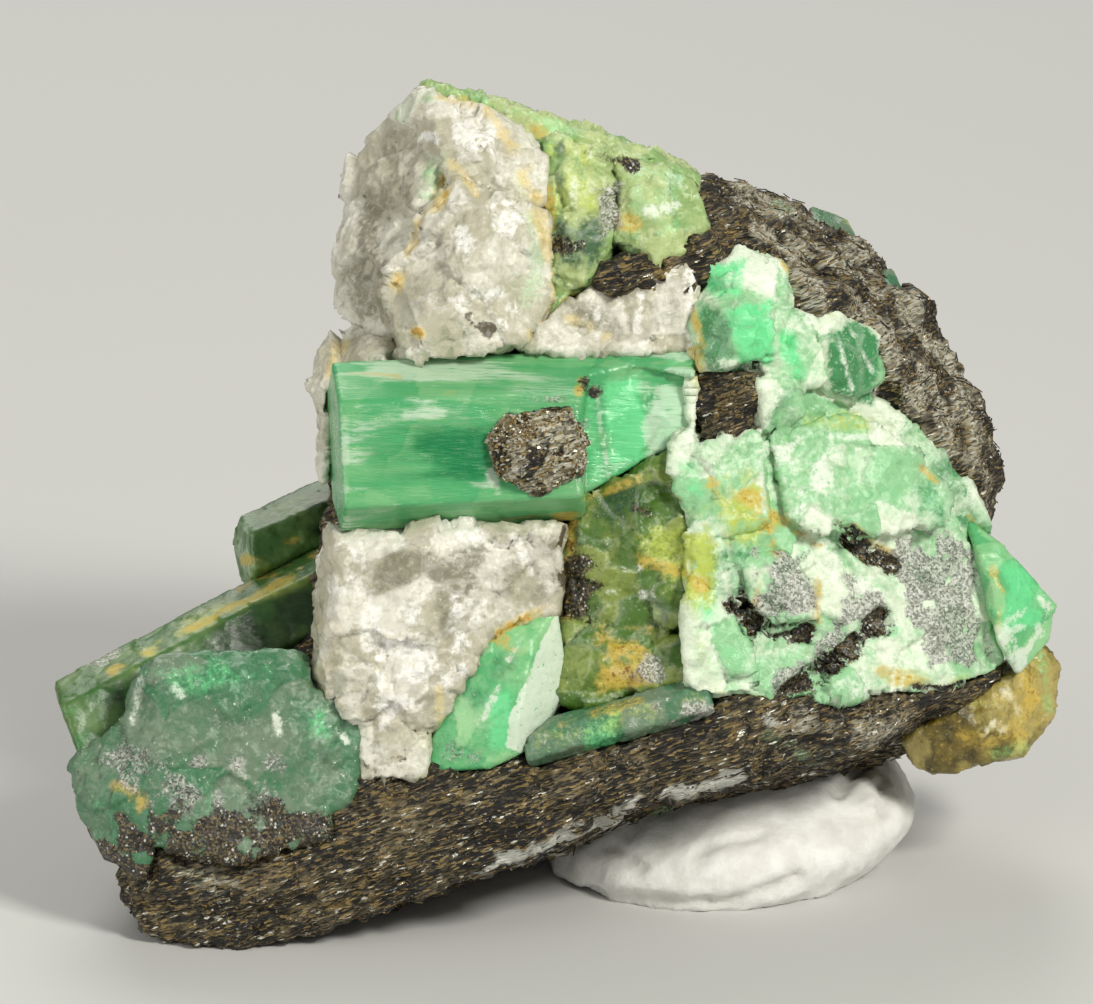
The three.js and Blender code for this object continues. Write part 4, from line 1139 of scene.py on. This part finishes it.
# %% Rusty lump, scab and schist
lump_marks = {
    "rust": [
        patch(12, 0.3, (912, 712), (966, 708), (972, 760), (940, 772), (918, 750)),
        line(8, 0.75, (1026, 668), (1030, 700)),
        line(9, 0.6, (966, 735), (1000, 742)),
        patch(14, 0.45, (970, 690), (1040, 690), (1040, 750), (980, 760)),
    ],
    "frost": [
        patch(6, 0.9, (972, 716), (1008, 708), (1004, 732), (984, 738)),
        line(5, 0.5, (1004, 690), (1016, 712)),
    ],
    "deep": [patch(12, 0.8, (908, 700), (972, 698), (980, 768), (926, 778))],
    "lime": [line(8, 0.6, (970, 700), (992, 706))],
    "mint": [line(7, 0.4, (1042, 660), (1050, 710)), line(8, 0.4, (996, 752), (1024, 748))],
}
dress("rusty_lump", 0.24, iron_finish, "rusty_rock", lump_marks, (3.4, 0.4), (1.2, 0.16), 0.07)
scab_marks = {
    "silver": [patch(10, 2.0, (485, 405), (588, 405), (588, 498), (490, 498))],
    "frost": [line(7, 0.8, (506, 466), (520, 480)), line(6, 0.6, (492, 440), (500, 456))],
    "rust": [line(8, 0.55, (500, 425), (515, 440)), line(8, 0.5, (545, 470), (576, 450))],
}
scab = dress("mica_scab", 0.18, felted_finish, "mica_schist", scab_marks, (1.8, 0.25), (0.7, 0.16), 0.08)
schist_marks = {
    "silver": [
        patch(
            24, 0.85, (708, 150), (780, 190), (870, 250), (960, 330), (1000, 500), (880, 400), (760, 280)
        ),
        line(14, 0.5, (790, 725), (900, 735)),
        line(16, 0.4, (150, 840), (220, 890)),
    ],
    "rust": [
        patch(9, 0.55, (596, 240), (718, 240), (716, 288), (598, 290)),
        patch(9, 0.6, (703, 385), (762, 385), (760, 450), (706, 446)),
        line(12, 0.6, (735, 730), (785, 730)),
        line(14, 0.4, (400, 800), (520, 800)),
        line(4, 0.7, (753, 256), (781, 261), (797, 274), (799, 300)),
        line(3, 0.7, (326, 908), (420, 890)),
        line(6, 0.5, (520, 780), (640, 760)),
    ],
    "frost": [
        line(8, 0.85, (494, 862), (560, 842), (640, 802), (735, 778)),
        line(6, 0.6, (440, 874), (490, 866)),
        line(6, 0.7, (768, 720), (780, 722)),
        line(9, 0.6, (870, 392), (888, 412)),
        line(5, 0.5, (812, 305), (842, 312)),
    ],
    "mint": [
        line(12, 0.6, (645, 812), (685, 822)),
        line(9, 0.5, (768, 738), (812, 760)),
        line(7, 0.6, (776, 204), (788, 210)),
        line(12, 0.4, (160, 850), (200, 880)),
    ],
}
schist = dress("schist", 0.44, felted_finish, "mica_schist", schist_marks, (3.6, 0.6), (1.2, 0.28), 0.16)

# %% [markdown]
# ## Layers and quartz threads
# Schist splits along its layers, so low ledges run along them. They could be bump, but then the outline
# would stay smooth. A few thin threads of quartz cross the back, as they often do in this rock.

# %% Layers and quartz threads
LAYER_RUN = math.cos(LAYER_RISE) * RIGHT + math.sin(LAYER_RISE) * np.array((0.0, 0.0, 1.0))
LAYER_STRETCH = 0.8
LAYER_THICK = 1.8
LEDGE = 0.4
places = points_of(schist)
layers = places - LAYER_STRETCH * np.outer(places @ LAYER_RUN, LAYER_RUN)
push_out(schist, LEDGE * rough(layers, LAYER_THICK, 91))
print("layers", LAYER_THICK, "mm thick rise at", round(math.degrees(LAYER_RISE)), "degrees")
THREAD_SPACING = 11.0
THREAD_HALF = 0.06
turned_away = np.clip(-2.5 * (normals_of(schist) @ NEAR) - 0.3, 0, 1)
thread = np.clip(1.3 - abs(rough(layers, THREAD_SPACING, 95)) / THREAD_HALF, 0, 1) * turned_away
for name, strength in (("frost", 0.75), ("rust", 0.45)):
    layer = schist.data.attributes[name].data
    marked = np.empty(len(layer), dtype=np.float32)
    layer.foreach_get("value", marked)
    layer.foreach_set("value", np.maximum(marked, strength * thread).astype(np.float32))
print("quartz threads cover", round(float(thread.mean() * 100), 1), "% of the points")

# %% [markdown]
# ## Loose mica plates
# Real plates stand out of the felt and glitter. Each is a thin closed five-sided plate, all joined in one
# mesh. Some are drawn out into fibres along the layers and some are short, and both kinds lie all over the
# schist.

# %% Mica plates
PLATE_SIDES = 5
PLATE_HALF_THICK = 0.04
PLATE_LIFT = 0.06
COVERED = 0.7
CLUMP = 2.4
BARE = (-0.6, 0.5)
PLATE_BLACK = srgb(36, 33, 28)
PLATE_BRONZE = srgb(140, 118, 74)
PLATE_SILVER = srgb(196, 192, 176)
plate_finish, bench, shader, _ = new_finish("mica_plates")
tone = mark(bench, "tone")
plate_body = tone.step(0.25, 0.6).tint(PLATE_BLACK, PLATE_BRONZE)
plate_body = tone.step(0.72, 0.8).tint(plate_body, PLATE_SILVER)
feed(shader, Base_Color=plate_body, Metallic=tone * 0.4, Roughness=0.55 - tone * 0.25)


def sprinkle(name, carrier, node, count, length, slender, lean, tones, seed):
    """Plates on open places of a carrier: length in mm, slender from 1 round to 0.1 a fibre."""
    draw = np.random.default_rng(seed)
    tree = surface_of(*[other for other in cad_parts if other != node])
    spots, ups = points_of(carrier), normals_of(carrier)
    bare = waves(spots, CLUMP, seed) < draw.uniform(*BARE, len(spots))
    corners, faces, shades = [], [], []
    for i in draw.permutation(len(spots)):
        if len(shades) >= count * 2 * PLATE_SIDES:
            break
        if bare[i] or spots[i][2] < COVERED or tree.find_nearest(Vector(spots[i] * MM), COVERED * MM)[0]:
            continue
        up = ups[i] + lean * draw.normal(size=3)
        up /= np.linalg.norm(up)
        run = LAYER_RUN + slender * draw.normal(size=3)
        run -= up * (run @ up)
        run /= np.linalg.norm(run)
        side = np.cross(up, run)
        reach = length * draw.uniform(0.5, 1.2)
        angles = (np.arange(PLATE_SIDES) + draw.uniform(0, 0.7, PLATE_SIDES)) * 2 * math.pi / PLATE_SIDES
        rim = np.outer(np.cos(angles), run) + slender * np.outer(np.sin(angles), side)
        middle = spots[i] + ups[i] * PLATE_LIFT
        first = len(corners)
        for lift in (PLATE_HALF_THICK, -PLATE_HALF_THICK):
            corners += list((middle + reach / 2 * rim + lift * up) * MM)
        faces.append([first + k for k in range(PLATE_SIDES)])
        faces.append([first + 2 * PLATE_SIDES - 1 - k for k in range(PLATE_SIDES)])
        for k in range(PLATE_SIDES):
            after = (k + 1) % PLATE_SIDES
            faces.append([first + k, first + PLATE_SIDES + k, first + PLATE_SIDES + after, first + after])
        shades += [draw.uniform(*tones)] * (2 * PLATE_SIDES)
    mesh = bpy.data.meshes.new(name)
    mesh.from_pydata([tuple(corner) for corner in corners], [], faces)
    piece = bpy.data.objects.new(name, mesh)
    bpy.context.scene.collection.objects.link(piece)
    move_to(piece, points_of(piece))
    keep_mark(piece, "tone", np.array(shades))
    mesh.materials.append(plate_finish)
    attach(piece, "root")
    print(name, len(shades) // (2 * PLATE_SIDES), "plates")


sprinkle("mica_fibres", schist, "schist", 5000, 1.1, 0.07, 0.1, (0.0, 0.56), 5)
sprinkle("mica_flakes", schist, "schist", 6400, 0.2, 0.8, 0.6, (0.0, 0.8), 6)
sprinkle("scab_flakes", scab, "mica_scab", 520, 0.3, 0.8, 0.6, (0.3, 1.0), 7)

# %% [markdown]
# ## Putty
# The putty is kneaded by hand, matt and nearly white. Finger dents and a crease above the lip along its
# foot are pressed into the skin itself.

# %% Putty
putty = skin_of("putty", 0.42)
places = points_of(putty)
creases = [
    line(5, 1.0, (590, 893), (640, 900), (720, 904), (800, 880)),
    line(6, 0.9, (838, 792), (862, 762)),
    line(5, 0.7, (880, 786), (884, 812)),
    line(5, 0.6, (612, 848), (640, 868)),
    line(4, 0.5, (700, 850), (760, 838)),
]
CREASE_DEPTH = 0.8
CREASE_RAGGED = 0.2
PUTTY_WHITE = srgb(238, 238, 234)
PUTTY_DULL = srgb(220, 219, 213)
PUTTY_SHADE = srgb(150, 148, 138)
kneaded = 0.55 * rough(places, 7.0, 61) + 0.1 * rough(places, 1.6, 62)
push_out(putty, kneaded - CREASE_DEPTH * cover(putty, creases, CREASE_RAGGED))
keep_mark(putty, "crease", cover(putty, creases, CREASE_RAGGED))
putty_finish, bench, shader, place = new_finish("white_putty")
dents = cloud(place, 0.5, 4.0)
body = dents.step(0.3, 0.7).tint(PUTTY_DULL, PUTTY_WHITE)
body = (mark(bench, "crease") * 0.35).tint(body, PUTTY_SHADE)
feed(shader, Base_Color=body, Normal=bump(dents, 0.25))
shader.inputs["Roughness"].default_value = 0.62
putty.data.materials.append(putty_finish)
print("putty:", len(putty.data.polygons), "faces")

# %% [markdown]
# ## Floor finish
# The floor is plain and matt, so that it takes the stone's shadow and shows no pattern of its own.

# %% Floor finish
floor_finish, _, shader, _ = new_finish("pale_floor")
shader.inputs["Base Color"].default_value = srgb(202, 202, 200)
shader.inputs["Roughness"].default_value = 0.6
floor_mesh.materials.append(floor_finish)
print("floor finish:", floor_finish.name)
